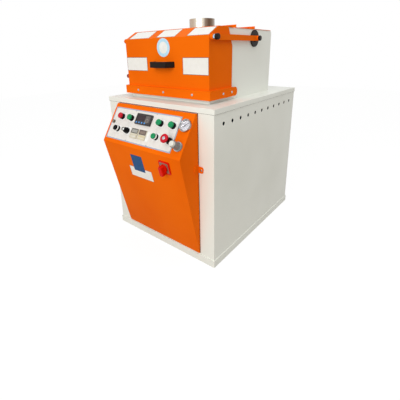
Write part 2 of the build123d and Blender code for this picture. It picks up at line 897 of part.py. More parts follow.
def make_regulator_knob():
    low = regulator_flange + control_gap
    high = low + regulator_knob_height
    knob = disc(low, high, regulator_knob_radius)
    flute = Pos(regulator_knob_radius + 0.5, 0, 0) * disc(low + 3, high - 3, regulator_flute_radius)
    knob -= [Rot(0, 0, 360 * i / regulator_flutes) * flute for i in range(regulator_flutes)]
    cap = disc(high, high + regulator_cap_height, regulator_cap_radius)
    knob += fillet(top_circle(cap), 2.5)
    knob += disc(-10, low, regulator_stem_radius)
    return stand(control_face, regulator_x, regulator_drop, knob)


def make_isolator_plate():
    plate = slab(0, isolator_height, isolator_size, isolator_size, 5)
    plate += slab(-isolator_body_depth, 0, isolator_body, isolator_body)
    plate -= disc(-8, isolator_height + 1, isolator_stem_radius + stem_clearance)
    return stand(under_face, isolator_x, isolator_drop, plate)


def make_isolator_handle():
    low = isolator_height + control_gap
    high = low + isolator_boss_height
    top = high + isolator_grip_height
    grip = slab(low, top, isolator_grip_width, isolator_grip_length, isolator_grip_width * 0.4)
    grip = fillet(grip.faces().sort_by(Axis.Z)[-1].edges(), 4)
    grip = Pos(0, -isolator_grip_shift, 0) * grip
    handle = grip + disc(low, high, isolator_boss_radius) + disc(-6, low, isolator_stem_radius)
    return stand(under_face, isolator_x, isolator_drop, handle)


def make_latch_screw():
    face = door_back - latch_sheet
    head = pin_y(latch_screw_x, face - 3.2, face, latch_height, latch_screw_head)
    head = fillet(end_circle(head, Axis.Y, last=False), 1.5)
    return head + pin_y(latch_screw_x, face, face + latch_screw_length, latch_height, latch_screw_radius)


def make_hinge(z):
    """The fixed half of a hinge: leaf on the stile, knuckle and pin."""
    high = z + 2 * hinge_length
    leaf = block(hinge_x - hinge_leaf, hinge_x, body_front - hinge_leaf_sheet, body_front, z, high)
    inside = hinge_x - hinge_radius - 1
    leaf -= block(inside, hinge_x + 1, body_front - 5, body_front + 1, z + hinge_length, high + 1)
    knuckle = post(hinge_x, hinge_y, z, z + hinge_length, hinge_radius)
    return leaf + knuckle + post(hinge_x, hinge_y, z, high, hinge_pin_radius)


# Chamber housing

def make_housing():
    low_z = top_height
    curb_z = low_z + curb_height
    outline = [
        (housing_front, low_z),
        (housing_front, curb_z),
        (mouth_back, housing_top - mouth_step),
        (mouth_back, housing_top),
        (housing_back, housing_top),
        (housing_back, low_z),
    ]
    outer = side_profile(outline, -housing_half, housing_half)
    top_back = outer.edges().filter_by(Axis.X).sort_by(lambda e: -(e.center().Y + e.center().Z))[0]
    outer = fillet(top_back, housing_corner)
    wall = housing_half - housing_sheet
    inner = side_profile(inset(outline, housing_sheet), -wall, wall)
    inner_back = inner.edges().filter_by(Axis.X).sort_by(lambda e: -(e.center().Y + e.center().Z))[0]
    inner = fillet(inner_back, housing_corner - housing_sheet)
    housing = outer - inner
    edge = housing_half - housing_flange
    # The mouth under the hood, from the curb up to the lintel
    high_z = housing_top + 1
    rear = housing_back - housing_flange
    housing -= block(-edge, edge, housing_front - 1, mouth_back + housing_sheet + 1, curb_z, high_z)
    housing -= block(-edge, edge, mouth_back - 1, roof_front, housing_top - 5, high_z)
    housing -= block(-edge, edge, roof_front + lintel_depth, rear, housing_top - 5, high_z)
    housing -= block(-edge, edge, housing_front + housing_flange, rear, low_z - 1, low_z + 5)
    lintel_low = housing_top - lintel_depth
    housing += block(-wall, wall, roof_front, roof_front + housing_sheet, lintel_low, housing_top)
    outside = housing_half + 5
    return housing - pin_x(-outside, outside, pivot_y, pivot_z, pivot_pin_radius + pivot_pin_clearance)


def make_roof_plate(y0, y1):
    """A flat plate whose front edge is turned up."""
    side = housing_half + roof_overhang
    plate = block(-side, side, y0, y1, housing_top, roof_top)
    return plate + block(-side, side, y0, y0 + roof_sheet, roof_top, roof_top + roof_upstand)


def make_front_roof():
    plate = make_roof_plate(roof_front, roof_split - roof_split_gap / 2)
    return plate - post(0, axis_y, housing_top - 1, roof_top + 1, flue_radius - flue_wall)


def make_rear_roof():
    return make_roof_plate(roof_split + roof_split_gap / 2, housing_back - housing_corner)


def make_flue():
    bore = flue_radius - flue_wall
    tube = ring(0, axis_y, roof_top, roof_top + flue_height, flue_radius, bore)
    flange = ring(0, axis_y, roof_top, roof_top + flue_wall, flue_radius + flue_flange, bore)
    return tube + flange


def make_bowl():
    inner = bowl_radius - bowl_wall
    wall = ring(0, axis_y, bowl_bottom, top_height, bowl_radius, inner)
    flange = ring(0, axis_y, top_height, top_height + bowl_wall, bowl_radius + bowl_flange, inner)
    floor = ring(0, axis_y, bowl_bottom, bowl_floor_top, bowl_radius, bowl_neck_radius - bowl_wall)
    neck = ring(0, axis_y, bowl_bottom, bowl_floor_top + bowl_neck_height, bowl_neck_radius,
                bowl_neck_radius - bowl_wall)
    bowl = wall + flange + floor + neck
    return bowl - post(pipe_x, pipe_y, bowl_bottom - 1, bowl_floor_top + 1, pipe_radius + pipe_hole_gap)


# Spindle group

def make_bearing_housing():
    body = post(0, axis_y, bearing_plate_top, bowl_bottom, bearing_housing_radius)
    body += post(0, axis_y, bearing_plate_top, bearing_plate_top + bearing_flange, bearing_flange_radius)
    for z0, z1 in bearing_spans():
        body -= post(0, axis_y, z0, z1, bearing_outer + seat_clearance)
    body -= post(0, axis_y, bearing_plate_top - 1, bowl_bottom + 1, bearing_shoulder_radius)
    return body


def bearing_spans():
    low = bearing_plate_top
    high = bowl_bottom
    return ((low, low + bearing_inset + bearing_width), (high - bearing_inset - bearing_width, high))


def make_bearing(index):
    low = bearing_plate_top + bearing_inset if index == 0 else bowl_bottom - bearing_inset - bearing_width
    bore = spindle_radius + bearing_clearance
    bearing = ring(0, axis_y, low, low + bearing_width, bearing_outer, bore)
    race_out = bearing_outer - 6
    race_in = bore + 5
    for z in (low, low + bearing_width - 1.5):
        bearing -= ring(0, axis_y, z, z + 1.5, race_out, race_in)
    return bearing


def make_spindle():
    flange_low = turntable_bottom - spindle_flange
    shaft = post(0, axis_y, spindle_bottom, flange_low, spindle_radius)
    flange = post(0, axis_y, flange_low, turntable_bottom, spindle_flange_radius)
    bore = post(0, axis_y, spindle_bottom - 1, turntable_bottom + 1, push_rod_radius + push_rod_clearance)
    return shaft + flange - bore


def make_pulley(y, radius):
    pulley = post(0, y, pulley_bottom, pulley_top, radius)
    half = groove_width / 2
    return pulley - ring(0, y, pulley_middle - half, pulley_middle + half, radius + 1, radius - groove_depth)


def make_spindle_pulley():
    bore = post(0, axis_y, pulley_bottom - 1, pulley_top + 1, spindle_radius + seat_clearance)
    return make_pulley(axis_y, pulley_radius) - bore


def make_turntable():
    plate = post(0, axis_y, turntable_bottom, turntable_top, turntable_radius)
    for i in range(post_count):
        angle = radians(90 + 360 * i / post_count)
        x = post_circle * cos(angle)
        y = axis_y + post_circle * sin(angle)
        plate += post(x, y, turntable_top, pressure_bottom, post_radius)
    bore = push_rod_radius + push_rod_clearance
    return plate - post(0, axis_y, turntable_bottom - 1, turntable_top + 1, bore)


def make_pressure_plate():
    high = pressure_bottom + pressure_plate
    plate = ring(0, axis_y, pressure_bottom, high, turntable_radius, pour_hole_radius)
    rim = plate.edges().filter_by(GeomType.CIRCLE).group_by(Axis.Z)[-1]
    return chamfer(rim, 2)


def make_lift_plate():
    plate = post(0, axis_y, lift_plate_bottom, lift_plate_bottom + lift_plate, lift_plate_radius)
    plate = chamfer(plate.edges().filter_by(GeomType.CIRCLE).group_by(Axis.Z)[-1], 2)
    return plate + post(0, axis_y, push_rod_bottom, lift_plate_bottom, push_rod_radius)


def make_cylinder_rod():
    top = push_rod_bottom - rod_tip_gap
    cup = post(0, axis_y, top - cylinder_cup, top, cylinder_cup_radius)
    piston_low = cylinder_bottom + cylinder_cap + 1
    rod = post(0, axis_y, piston_low + piston_width / 2, top - cylinder_cup, cylinder_rod_radius)
    piston_radius = cylinder_radius - cylinder_wall - piston_clearance
    return cup + rod + post(0, axis_y, piston_low, piston_low + piston_width, piston_radius)


def make_clamp_cylinder():
    side = cylinder_radius + 5
    tube = ring(0, axis_y, cylinder_bottom, cylinder_top, cylinder_radius, cylinder_radius - cylinder_wall)
    caps = block(-side, side, axis_y - side, axis_y + side, cylinder_bottom, cylinder_bottom + cylinder_cap)
    high = block(-side, side, axis_y - side, axis_y + side, cylinder_top - cylinder_cap, cylinder_top)
    high -= post(0, axis_y, cylinder_bottom, cylinder_top + 1, cylinder_rod_radius + cylinder_rod_clearance)
    body = tube + caps + high
    for sx in (-1, 1):
        for sy in (-1, 1):
            place = side - 7
            body += post(sx * place, axis_y + sy * place, cylinder_bottom, cylinder_top + 4, 4)
    return body


def make_motor():
    low = bearing_plate_top
    body = post(0, motor_y, low + motor_flange, low + motor_flange + motor_length, motor_radius)
    body += post(0, motor_y, low, low + motor_flange, motor_flange_radius)
    fin_low = low + motor_flange + 10
    fin_high = low + motor_flange + motor_length - motor_cowl
    for i in range(motor_fin_count):
        fin = block(motor_radius - 2, motor_radius + motor_fin, -1.2, 1.2, fin_low, fin_high)
        body += Pos(0, motor_y, 0) * Rot(0, 0, 360 * i / motor_fin_count) * fin
    top = low + motor_flange + motor_length
    body += post(0, motor_y, top - motor_cowl, top + 4, motor_radius + motor_fin)
    half = motor_box / 2
    side = motor_radius + 38
    box_low = fin_low + 25
    body += block(motor_radius - 10, side, motor_y - half, motor_y + half, box_low, box_low + motor_box)
    shaft = motor_shaft_radius + motor_shaft_clearance
    return body - post(0, motor_y, low - 1, low + motor_shaft_reach + motor_bore_room, shaft)


def make_motor_pulley():
    shaft = post(0, motor_y, pulley_bottom, bearing_plate_top + motor_shaft_reach, motor_shaft_radius)
    return make_pulley(motor_y, motor_pulley_radius) + shaft


def belt_outline(extra):
    """The belt's path round both pulleys, moved out from the groove by extra."""
    big = pulley_radius - groove_depth + belt_gap + extra
    small = motor_pulley_radius - groove_depth + belt_gap + extra
    centres = motor_y - axis_y
    lean = (big - small) / centres
    rise = sqrt(1 - lean * lean)
    a0 = (big * rise, axis_y + big * lean)
    a1 = (small * rise, motor_y + small * lean)
    b0 = (-a0[0], a0[1])
    b1 = (-a1[0], a1[1])
    run = Line(a0, a1)
    far = ThreePointArc(a1, (0, motor_y + small), b1)
    back = Line(b1, b0)
    near = ThreePointArc(b0, (0, axis_y - big), a0)
    return make_face([run, far, back, near])


def make_belt():
    half = groove_width / 2 - belt_gap
    solid = extrude(belt_outline(belt_thickness), amount=2 * half) - extrude(belt_outline(0), amount=2 * half)
    return Pos(0, 0, pulley_middle - half) * solid


def make_pump():
    """Vacuum pump: a pump block with feet and a filter can, and its motor behind."""
    half = pump_width / 2
    y0 = pump_y - pump_block_length / 2
    y1 = pump_y + pump_block_length / 2
    foot = 12.0
    body = block(pump_x - half, pump_x + half, y0, y1, floor_top + foot, floor_top + pump_height)
    body = fillet(body.edges().filter_by(Axis.Y), 10)
    axle_z = floor_top + foot + pump_motor_radius + 8
    motor = pin_y(pump_x, y1, y1 + pump_motor_length, axle_z, pump_motor_radius)
    feet = block(pump_x - half, pump_x + half, y0 + 10, y0 + 35, floor_top, floor_top + foot)
    rear = y1 + pump_motor_length - 20
    feet += block(pump_x - half + 15, pump_x + half - 15, rear - 30, rear, floor_top, axle_z)
    can = post(pump_x, y0 + 40, floor_top + pump_height - 5, floor_top + pump_height + 55, 28)
    inlet = post(pipe_x, pipe_y, floor_top + pump_height - 5, pump_inlet_top, pipe_radius + 4)
    return body + motor + feet + can + inlet


def make_vacuum_pipe():
    """From the pump's inlet straight up through the bowl's floor, with a flange under it."""
    bore = pipe_radius - pipe_wall
    pipe = ring(pipe_x, pipe_y, pump_inlet_top, bowl_floor_top + pipe_stub, pipe_radius, bore)
    return pipe + ring(pipe_x, pipe_y, bowl_bottom - 4, bowl_bottom, pipe_radius + pipe_flange, bore)


def make_gland():
    y = body_back
    nut = extrude(RegularPolygon(gland_radius, 6), amount=4, both=True)
    nut = Pos(gland_x, y + 4, gland_z) * Rot(90, 0, 0) * nut
    dome = pin_y(gland_x, y + 8, y + gland_length, gland_z, gland_radius - 3)
    thread = pin_y(gland_x, y - 12, y, gland_z, gland_radius - 4.1)
    bore = pin_y(gland_x, y - 20, y + gland_length + 2, gland_z, gland_bore)
    return nut + dome + thread - bore


# Hood

def make_hood():
    far = hood_roof_back
    facet_back = hood_front + facet_depth
    outline = [
        (hood_front, hood_bottom - 10),
        (hood_front, hood_bend_height),
        (facet_back, hood_roof_top),
        (far + 10, hood_roof_top),
        (far + 10, hood_bottom - 10),
    ]
    outer = side_profile(outline, -hood_half, hood_half)
    inner = side_profile(inset(outline, hood_sheet), -hood_half + hood_sheet, hood_half - hood_sheet)
    shell = outer - inner
    roof_under = hood_roof_top - hood_sheet
    shell -= block(-hood_half - 1, hood_half + 1, hood_front - 1, far + 20, hood_bottom - 20, hood_bottom)
    shell -= block(-hood_half - 1, hood_half + 1, far, far + 20, hood_bottom - 20, hood_roof_top + 1)
    back_cut = [
        (hood_side_back, hood_bottom - 20),
        (hood_side_back, hood_side_step),
        (far - hood_roof_overhang, roof_under),
        (far + 20, roof_under),
        (far + 20, hood_bottom - 20),
    ]
    shell -= side_profile(back_cut, -hood_half - 1, hood_half + 1)
    for x, z in skirt_front_screws():
        shell -= pin_y(x, hood_front - 1, hood_front + 3, z, skirt_screw_radius + 0.05)
    for side in (-1, 1):
        for y, z in skirt_side_screw_places():
            shell -= pin_x(side * (hood_half - 3), side * (hood_half + 1), y, z, skirt_screw_radius + 0.05)
    return shell


def skirt_front_screws():
    z = skirt_bottom + skirt_screw_height
    return [(i * skirt_screw_pitch, z) for i in (-1, 0, 1)]


def skirt_side_screw_places():
    z = skirt_bottom + skirt_screw_height
    return [(hood_front + skirt_front_screw_inset, z), (hood_side_back - skirt_back_screw_inset, z)]


def make_skirt():
    t = hood_sheet
    x, low, high, rear = skirt_half, skirt_bottom - 1, skirt_top + 1, skirt_back + 1
    skirt = block(-x, x, skirt_front, skirt_back, skirt_bottom, skirt_top)
    skirt -= block(-x + t, x - t, skirt_front + t, rear, low, skirt_top - t)
    # The top flange reaches in to the hood, and stops where the hood's side ends
    skirt -= block(-hood_half, hood_half, hood_front, rear, low, high)
    skirt -= block(-x + t, x - t, hood_side_back, rear, low, high)
    ear_edges = skirt.edges().filter_by(Axis.X).group_by(Axis.Y)[-1]
    skirt = fillet(ear_edges, skirt_corner)
    for x, z in skirt_front_screws():
        skirt -= pin_y(x, skirt_front - 1, skirt_front + 3, z, skirt_screw_radius + 0.05)
    for side in (-1, 1):
        for y, z in skirt_side_screw_places():
            skirt -= pin_x(side * (skirt_half - 3), side * (skirt_half + 1), y, z, skirt_screw_radius + 0.05)
    return skirt


def make_seal():
    t = hood_sheet
    low = hood_bottom + 1
    high = skirt_top - t
    seal = block(-skirt_half + t, skirt_half - t, skirt_front + t, hood_side_back - 2, low, high)
    seal -= block(-hood_half, hood_half, hood_front, hood_side_back, low - 1, high + 1)
    for x, z in skirt_front_screws():
        seal -= pin_y(x, skirt_front - 1, hood_front + 3, z, skirt_screw_radius + 0.05)
    for side in (-1, 1):
        for y, z in skirt_side_screw_places():
            seal -= pin_x(side * (hood_half - 3), side * (skirt_half + 1), y, z, skirt_screw_radius + 0.05)
    return seal


def make_front_screw(x, z):
    head = pin_y(x, skirt_front - screw_head_height, skirt_front, z, skirt_screw_head)
    head = fillet(end_circle(head, Axis.Y, last=False), 1.4)
    return head + pin_y(x, skirt_front, hood_front + 5, z, skirt_screw_radius)


def make_side_screw(side, y, z):
    head = pin_x(skirt_half, skirt_half + screw_head_height, y, z, skirt_screw_head)
    head = fillet(end_circle(head, Axis.X), 1.4)
    screw = head + pin_x(hood_half - 3.5, skirt_half, y, z, skirt_screw_radius)
    return screw if side > 0 else mirrored(screw)


def make_handle():
    """A bridge handle: a bar on two legs that spread towards the hood."""
    z0 = handle_z - handle_height / 2
    front = hood_front - handle_depth
    foot, bar = handle_length / 2, handle_bar_length / 2
    outer = Polyline((-foot, hood_front), (-bar, front), (bar, front), (foot, hood_front), close=True)
    foot_in, bar_in = foot - handle_foot, bar - handle_foot
    rear = front + handle_bar
    gap = Polyline((-foot_in, hood_front), (-bar_in, rear), (bar_in, rear), (foot_in, hood_front), close=True)
    handle = extrude(make_face(outer), amount=handle_height) - extrude(make_face(gap), amount=handle_height)
    corners = [e for e in handle.edges().filter_by(Axis.Z) if e.center().Y < front + 1]
    handle = fillet(corners, handle_corner)
    grip = [e for e in handle.edges().filter_by(Axis.X) if e.center().Y < front + 1]
    return Pos(handle_x, 0, z0) * fillet(grip, handle_fillet)


def make_arm():
    """The right arm: a flat bar with rounded ends and two bosses that stand it off the hood's side."""
    z0 = pivot_z - arm_height / 2
    z1 = pivot_z + arm_height / 2
    bar = block(arm_inner, arm_outer, arm_front, pivot_y, z0, z1)
    bar += pin_x(arm_inner, arm_outer, arm_front, pivot_z, arm_height / 2)
    bar += pin_x(arm_inner, arm_outer, pivot_y, pivot_z, arm_height / 2)
    for y in (arm_front, arm_second_boss):
        bar += pin_x(hood_half, arm_inner, y, pivot_z, arm_height / 2 - 1)
    hole = pivot_pin_radius + pivot_pin_clearance
    return bar - pin_x(arm_inner - 1, arm_outer + 1, pivot_y, pivot_z, hole)


def make_pivot_disc():
    x0 = housing_half
    plate = pin_x(x0, x0 + pivot_disc, pivot_y, pivot_z, pivot_disc_radius)
    plate = chamfer(end_circle(plate, Axis.X), 1)
    hub = pin_x(x0 + pivot_disc, arm_inner - pivot_disc_gap, pivot_y, pivot_z, pivot_pin_radius * 2)
    hole = pivot_pin_radius + pivot_pin_clearance
    return plate + hub - pin_x(x0 - 1, arm_inner + 1, pivot_y, pivot_z, hole)


def make_pivot_pin():
    wall = housing_half - housing_sheet
    head = pin_x(wall - pivot_head, wall, pivot_y, pivot_z, pivot_head_radius)
    end = arm_outer + arm_spacer + arm_cap_length - arm_cap_wall - 2
    return head + pin_x(wall, end, pivot_y, pivot_z, pivot_pin_radius)


def make_pivot_cap():
    start = arm_outer
    spacer = pin_x(start, start + arm_spacer, pivot_y, pivot_z, arm_cap_radius - 1.5)
    cap = pin_x(start + arm_spacer, start + arm_spacer + arm_cap_length, pivot_y, pivot_z, arm_cap_radius)
    cap = fillet(end_circle(cap, Axis.X), 2.5)
    bore_end = start + arm_spacer + arm_cap_length - arm_cap_wall
    bore = pivot_pin_radius + pivot_pin_clearance
    return spacer + cap - pin_x(start - 1, bore_end, pivot_y, pivot_z, bore)


def make_knob_collar():
    return pin_x(arm_outer, knob_start, arm_front, pivot_z, knob_collar_radius)


def make_front_knob():
    knob = pin_x(knob_start, knob_start + knob_length, arm_front, pivot_z, knob_radius)
    return fillet(end_circle(knob, Axis.X), 3)


def make_catch_knob():
    knob = pin_x(-hood_half - catch_knob_length, -hood_half, catch_knob_y, catch_knob_z, catch_knob_radius)
    return fillet(end_circle(knob, Axis.X, last=False), 3)


# Every node
save("plinth", make_plinth())
save("inner_frame", make_frame())
save("front_frame", make_front_frame())
save("side_panel_left", make_side_panel(-1))
save("side_panel_right", make_side_panel(1))
save("rear_panel", make_rear_panel())
save("top_plate", make_top_plate())
save("cable_gland", make_gland())
save("door_hinges", *[make_hinge(z) for z in hinge_heights])

save("chamber_housing", make_housing())
save("roof_plates", make_front_roof(), make_rear_roof())
save("flue_collar", make_flue())
save("chamber_bowl", make_bowl())
save("bearing_housing", make_bearing_housing())
save("spindle_bearings", make_bearing(0), make_bearing(1))
save("motor_body", make_motor())
save("drive_belt", make_belt())
save("clamp_cylinder", make_clamp_cylinder())
save("vacuum_pump", make_pump())
save("vacuum_pipe", make_vacuum_pipe())

pivot_disc_right = make_pivot_disc()
save("pivot_discs", pivot_disc_right, mirrored(pivot_disc_right))
pivot_pin_right = make_pivot_pin()
save("pivot_pins", pivot_pin_right, mirrored(pivot_pin_right))

save("hood_shell", make_hood())
save("hood_skirt", make_skirt())
save("hood_seal", make_seal())
save("hood_handle", make_handle())
side_screws = [make_side_screw(s, y, z) for s in (-1, 1) for y, z in skirt_side_screw_places()]
save("skirt_screws", *[make_front_screw(x, z) for x, z in skirt_front_screws()], *side_screws)
arm_right = make_arm()
save("hood_arms", arm_right, mirrored(arm_right))
pivot_cap_right = make_pivot_cap()
save("pivot_caps", pivot_cap_right, mirrored(pivot_cap_right))
save("knob_collar", make_knob_collar())
save("front_knob", make_front_knob())
save("catch_knob", make_catch_knob())

save("front_door", make_door())
save("control_plate", make_control_plate())
save("door_screws", make_latch_screw(), *[make_plate_screw(x, drop) for x, drop in plate_screw_places()])
save("button_bezels", *[make_bezel(x, drop) for x, drop in barrel_places()])
save("stop_button", make_cap(stop_x, upper_row))
for number, x in enumerate(start_xs, start=1):
    save(f"start_button_{number}", make_cap(x, upper_row))
save("lit_start_button", make_cap(lit_start_x, lower_row, ringed_cap_radius))
save("black_button", make_cap(black_button_x, lower_row, ringed_cap_radius))
save("selector", make_selector(selector_x, lower_row))
save("emergency_stop", make_emergency_head())
save("speed_controller", make_controller())
save("timers", *[make_timer(x) for x in timer_xs])
save("panel_lock", make_lock())
save("gauge_case", make_gauge())
save("gauge_needle", make_needle())
save("regulator_body", make_regulator_body())
save("regulator_knob", make_regulator_knob())
save("isolator_plate", make_isolator_plate())
save("isolator_handle", make_isolator_handle())

save("spindle", make_spindle())
save("spindle_pulley", make_spindle_pulley())
save("turntable", make_turntable())
save("pressure_plate", make_pressure_plate())
save("lift_plate", make_lift_plate())
save("cylinder_rod", make_cylinder_rod())
save("motor_pulley", make_motor_pulley())
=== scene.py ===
# %% [markdown]
# A vacuum centrifugal casting machine: a white floor cabinet, a wedge-shaped orange control door, a chamber
# on top with an orange hood that swings up on two side arms, and a bright flue collar.
# The solids come ready made from the frame, so this lesson gives them their paint, metal and plastic, and adds
# the small things that a solid model leaves out: films, legends, lenses, dial marks and screw heads.

# %% Load the frame
import math

import bmesh
import bpy
from mathutils import Matrix, Vector


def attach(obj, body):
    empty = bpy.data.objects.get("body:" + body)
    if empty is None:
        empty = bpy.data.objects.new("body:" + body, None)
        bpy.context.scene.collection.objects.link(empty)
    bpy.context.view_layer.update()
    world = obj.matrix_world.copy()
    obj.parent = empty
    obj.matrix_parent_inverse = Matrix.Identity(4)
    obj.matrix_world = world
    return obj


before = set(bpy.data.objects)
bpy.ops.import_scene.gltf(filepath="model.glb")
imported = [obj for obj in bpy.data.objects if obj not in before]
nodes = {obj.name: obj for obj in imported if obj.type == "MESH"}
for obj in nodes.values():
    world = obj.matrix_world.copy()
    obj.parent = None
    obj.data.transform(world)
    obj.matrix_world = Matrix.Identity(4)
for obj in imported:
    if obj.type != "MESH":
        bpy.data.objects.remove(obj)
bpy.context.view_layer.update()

# %% [markdown]
# The camera comes first, because every look is judged through it. A photograph's view is a place, a heading, a
# tilt and a lens. The lens here is short, so that the near corner of the cabinet looks large, and the picture is
# shifted a little, because the machine stands high in the frame. The camera's axes are worked out as three
# vectors and put side by side in a matrix, which avoids any guessing about the order of rotations.

# %% Place the camera
CAMERA_PLACE = Vector((1.016, -1.358, 0.993))
HEADING, TILT, ROLL = (math.radians(a) for a in (39.19, 18.99, -1.24))
PICTURE_PIXELS, FOCAL_PIXELS, SENSOR_MM = 400, 291.1, 36.0
CENTRE_PIXELS = (196.4, 151.0)

forward = Vector((-math.sin(HEADING) * math.cos(TILT), math.cos(HEADING) * math.cos(TILT), -math.sin(TILT)))
level = forward.cross(Vector((0, 0, 1))).normalized()
upright = level.cross(forward)
right = math.cos(ROLL) * level + math.sin(ROLL) * upright
up = -math.sin(ROLL) * level + math.cos(ROLL) * upright

camera_data = bpy.data.cameras.new("photo_camera")
camera_data.sensor_width = SENSOR_MM
camera_data.lens = FOCAL_PIXELS * SENSOR_MM / PICTURE_PIXELS
camera_data.shift_x = (PICTURE_PIXELS / 2 - CENTRE_PIXELS[0]) / PICTURE_PIXELS
camera_data.shift_y = (CENTRE_PIXELS[1] - PICTURE_PIXELS / 2) / PICTURE_PIXELS
camera = bpy.data.objects.new("photo_camera", camera_data)
camera.matrix_world = Matrix.Translation(CAMERA_PLACE) @ Matrix((right, up, -forward)).transposed().to_4x4()
bpy.context.scene.collection.objects.link(camera)
bpy.context.scene.camera = camera
print("lens in mm:", round(camera_data.lens, 2))

# %% [markdown]
# Materials are trees of nodes. Four small helpers keep the trees short: one turns a colour as a designer writes
# it into the linear light that Blender works in, one starts a material, one adds any node with its settings and
# links, and one drives a bump and hands it to the shader. Patterns are sized in real millimetres, because the
# scene is in metres and Object coordinates are metres too.

# %% Material helpers
MM = 0.001


def linear(hex_colour):
    """An sRGB hex colour as linear red, green, blue and an alpha of 1."""
    parts = [int(hex_colour[i:i + 2], 16) / 255 for i in (0, 2, 4)]
    return (*[c / 12.92 if c <= 0.04045 else ((c + 0.055) / 1.055) ** 2.4 for c in parts], 1.0)


def add(tree, kind, inputs=(), **settings):
    """Adds one node: settings are its properties, inputs are values or sockets by name or number."""
    made = tree.nodes.new(kind)
    for name, value in settings.items():
        setattr(made, name, value)
    for key, value in dict(inputs).items():
        if isinstance(value, bpy.types.NodeSocket):
            tree.links.new(value, made.inputs[key])
        else:
            made.inputs[key].default_value = value
    return made


def new_material(name, colour, roughness, metallic=0.0, **sockets):
    """A material with one Principled shader; the other sockets are given by name, with _ for a space."""
    made = bpy.data.materials.new(name)
    made.use_nodes = True
    shader = made.node_tree.nodes["Principled BSDF"]
    shader.inputs["Base Color"].default_value = linear(colour)
    shader.inputs["Roughness"].default_value = roughness
    shader.inputs["Metallic"].default_value = metallic
    for key, value in sockets.items():
        shader.inputs[key.replace("_", " ")].default_value = value
    return made, made.node_tree, shader


def places(tree, stretch=(1, 1, 1)):
    """Object coordinates, stretched."""
    source = add(tree, "ShaderNodeTexCoord")
    return add(tree, "ShaderNodeMapping", {"Vector": source.outputs["Object"], "Scale": stretch}).outputs[0]


def vary(tree, shader, colour_a, colour_b, size_mm, detail=3.0, low=0.35, high=0.65, vector=None):
    """Lets the base colour wander between two tones, over patches of a real size."""
    noise = add(tree, "ShaderNodeTexNoise", {"Vector": vector or places(tree), "Scale": 1 / (size_mm * MM),
                                             "Detail": detail})
    ramp = add(tree, "ShaderNodeValToRGB", {"Fac": noise.outputs["Fac"]})
    ramp.color_ramp.elements[0].position = low
    ramp.color_ramp.elements[1].position = high
    ramp.color_ramp.elements[0].color = linear(colour_a)
    ramp.color_ramp.elements[1].color = linear(colour_b)
    tree.links.new(ramp.outputs["Color"], shader.inputs["Base Color"])
    return noise


def spread(tree, shader, socket, source, low, high):
    """Maps a 0 to 1 source onto a range of one shader socket."""
    mapped = add(tree, "ShaderNodeMapRange", {"Value": source, "To Min": low, "To Max": high})
    tree.links.new(mapped.outputs["Result"], shader.inputs[socket])


def bump(tree, shader, height, depth_mm, strength=1.0):
    """A bump whose full height is a real depth."""
    made = add(tree, "ShaderNodeBump", {"Height": height, "Distance": depth_mm * MM, "Strength": strength})
    tree.links.new(made.outputs["Normal"], shader.inputs["Normal"])


print("orange as linear light:", [round(v, 3) for v in linear("F0691B")])

# %% [markdown]
# Powder coat is plastic powder, sprayed on steel and baked until it flows. It leaves a thick, glossy skin with a
# faint ripple called orange peel, with waves about 2 to 4 mm across and some hundredths of a millimetre deep. The
# ripple shows only in reflections, so it is a bump and not a colour. A wide, weak drift in colour and gloss keeps
# large panels from looking like flat cards. One recipe serves the orange and the white coat.

# %% Powder coats


def powder_coat(name, tone, darker, roughness, level, peel_mm=3.0):
    """Paint with a wide drift in tone and gloss, and the ripple of orange peel."""
    made, tree, shader = new_material(name, tone, roughness, IOR=1.5, Specular_IOR_Level=level)
    drift = vary(tree, shader, darker, tone, 320, detail=2.0, low=0.25, high=0.6)
    spread(tree, shader, "Roughness", drift.outputs["Fac"], roughness + 0.06, roughness - 0.05)
    peel = add(tree, "ShaderNodeTexNoise", {"Vector": places(tree), "Scale": 1 / (peel_mm * MM), "Detail": 1.5})
    bump(tree, shader, peel.outputs["Fac"], 0.03, 0.5)
    return made


orange_coat = powder_coat("orange_powder_coat", "F66F0A", "EF6607", 0.34, 0.012)
white_coat = powder_coat("warm_white_powder_coat", "F0F1E8", "EAEBE1", 0.34, 0.4)
frame_coat = powder_coat("grey_primer_paint", "74777A", "686B6E", 0.5, 0.4)
blue_coat = powder_coat("motor_blue_enamel", "3C5670", "344C64", 0.4, 0.4)
print("powder coats:", orange_coat.name, white_coat.name)

# %% [markdown]
# The rear panel was sprayed from outside only, and its inner face shows the primer, darkened to near black as
# painted shade for the inside of the cabinet. Through the vent holes that face is the background, so it decides how
# dark the holes look. The two sides of the sheet are told apart by their place: everything in front of the sheet's
# middle is its inside.

# %% Rear panel with a primed inside, darkened as painted shade
REAR_MIDDLE = 0.41925
rear_coat_primer_and_shade = powder_coat("white_coat_primer_and_painted_shade_inside", "F0F1E8", "EAEBE1", 0.34, 0.4)
tree = rear_coat_primer_and_shade.node_tree
shader = tree.nodes["Principled BSDF"]
outside = shader.inputs["Base Color"].links[0].from_socket
depth = add(tree, "ShaderNodeSeparateXYZ", {0: add(tree, "ShaderNodeTexCoord").outputs["Object"]})
inner = add(tree, "ShaderNodeMath", {0: depth.outputs["Y"], 1: REAR_MIDDLE}, operation="LESS_THAN")
# Near black: the primer together with painted shade for the inside of the cabinet.
primer_and_shade = add(tree, "ShaderNodeMix", {0: inner.outputs[0], 6: outside, 7: linear("17181A")}, data_type="RGBA")
tree.links.new(primer_and_shade.outputs[2], shader.inputs["Base Color"])
print("primer in front of y =", REAR_MIDDLE)

# %% [markdown]
# Metals are told apart by how they were finished. Rolled stainless sheet has fine scratches along one direction,
# so its highlight is drawn out across them: the roughness follows a noise that is stretched hard along the
# scratch. Zinc plating is duller and slightly blue, with soft clouds. Turned parts carry rings round their axis,
# and castings a coarse skin. The rings come from a wave texture, which has about 3.2 waves to the metre when its
# scale is 1. A metal keeps the default IOR, as its colour comes from the base colour.

# %% Metals


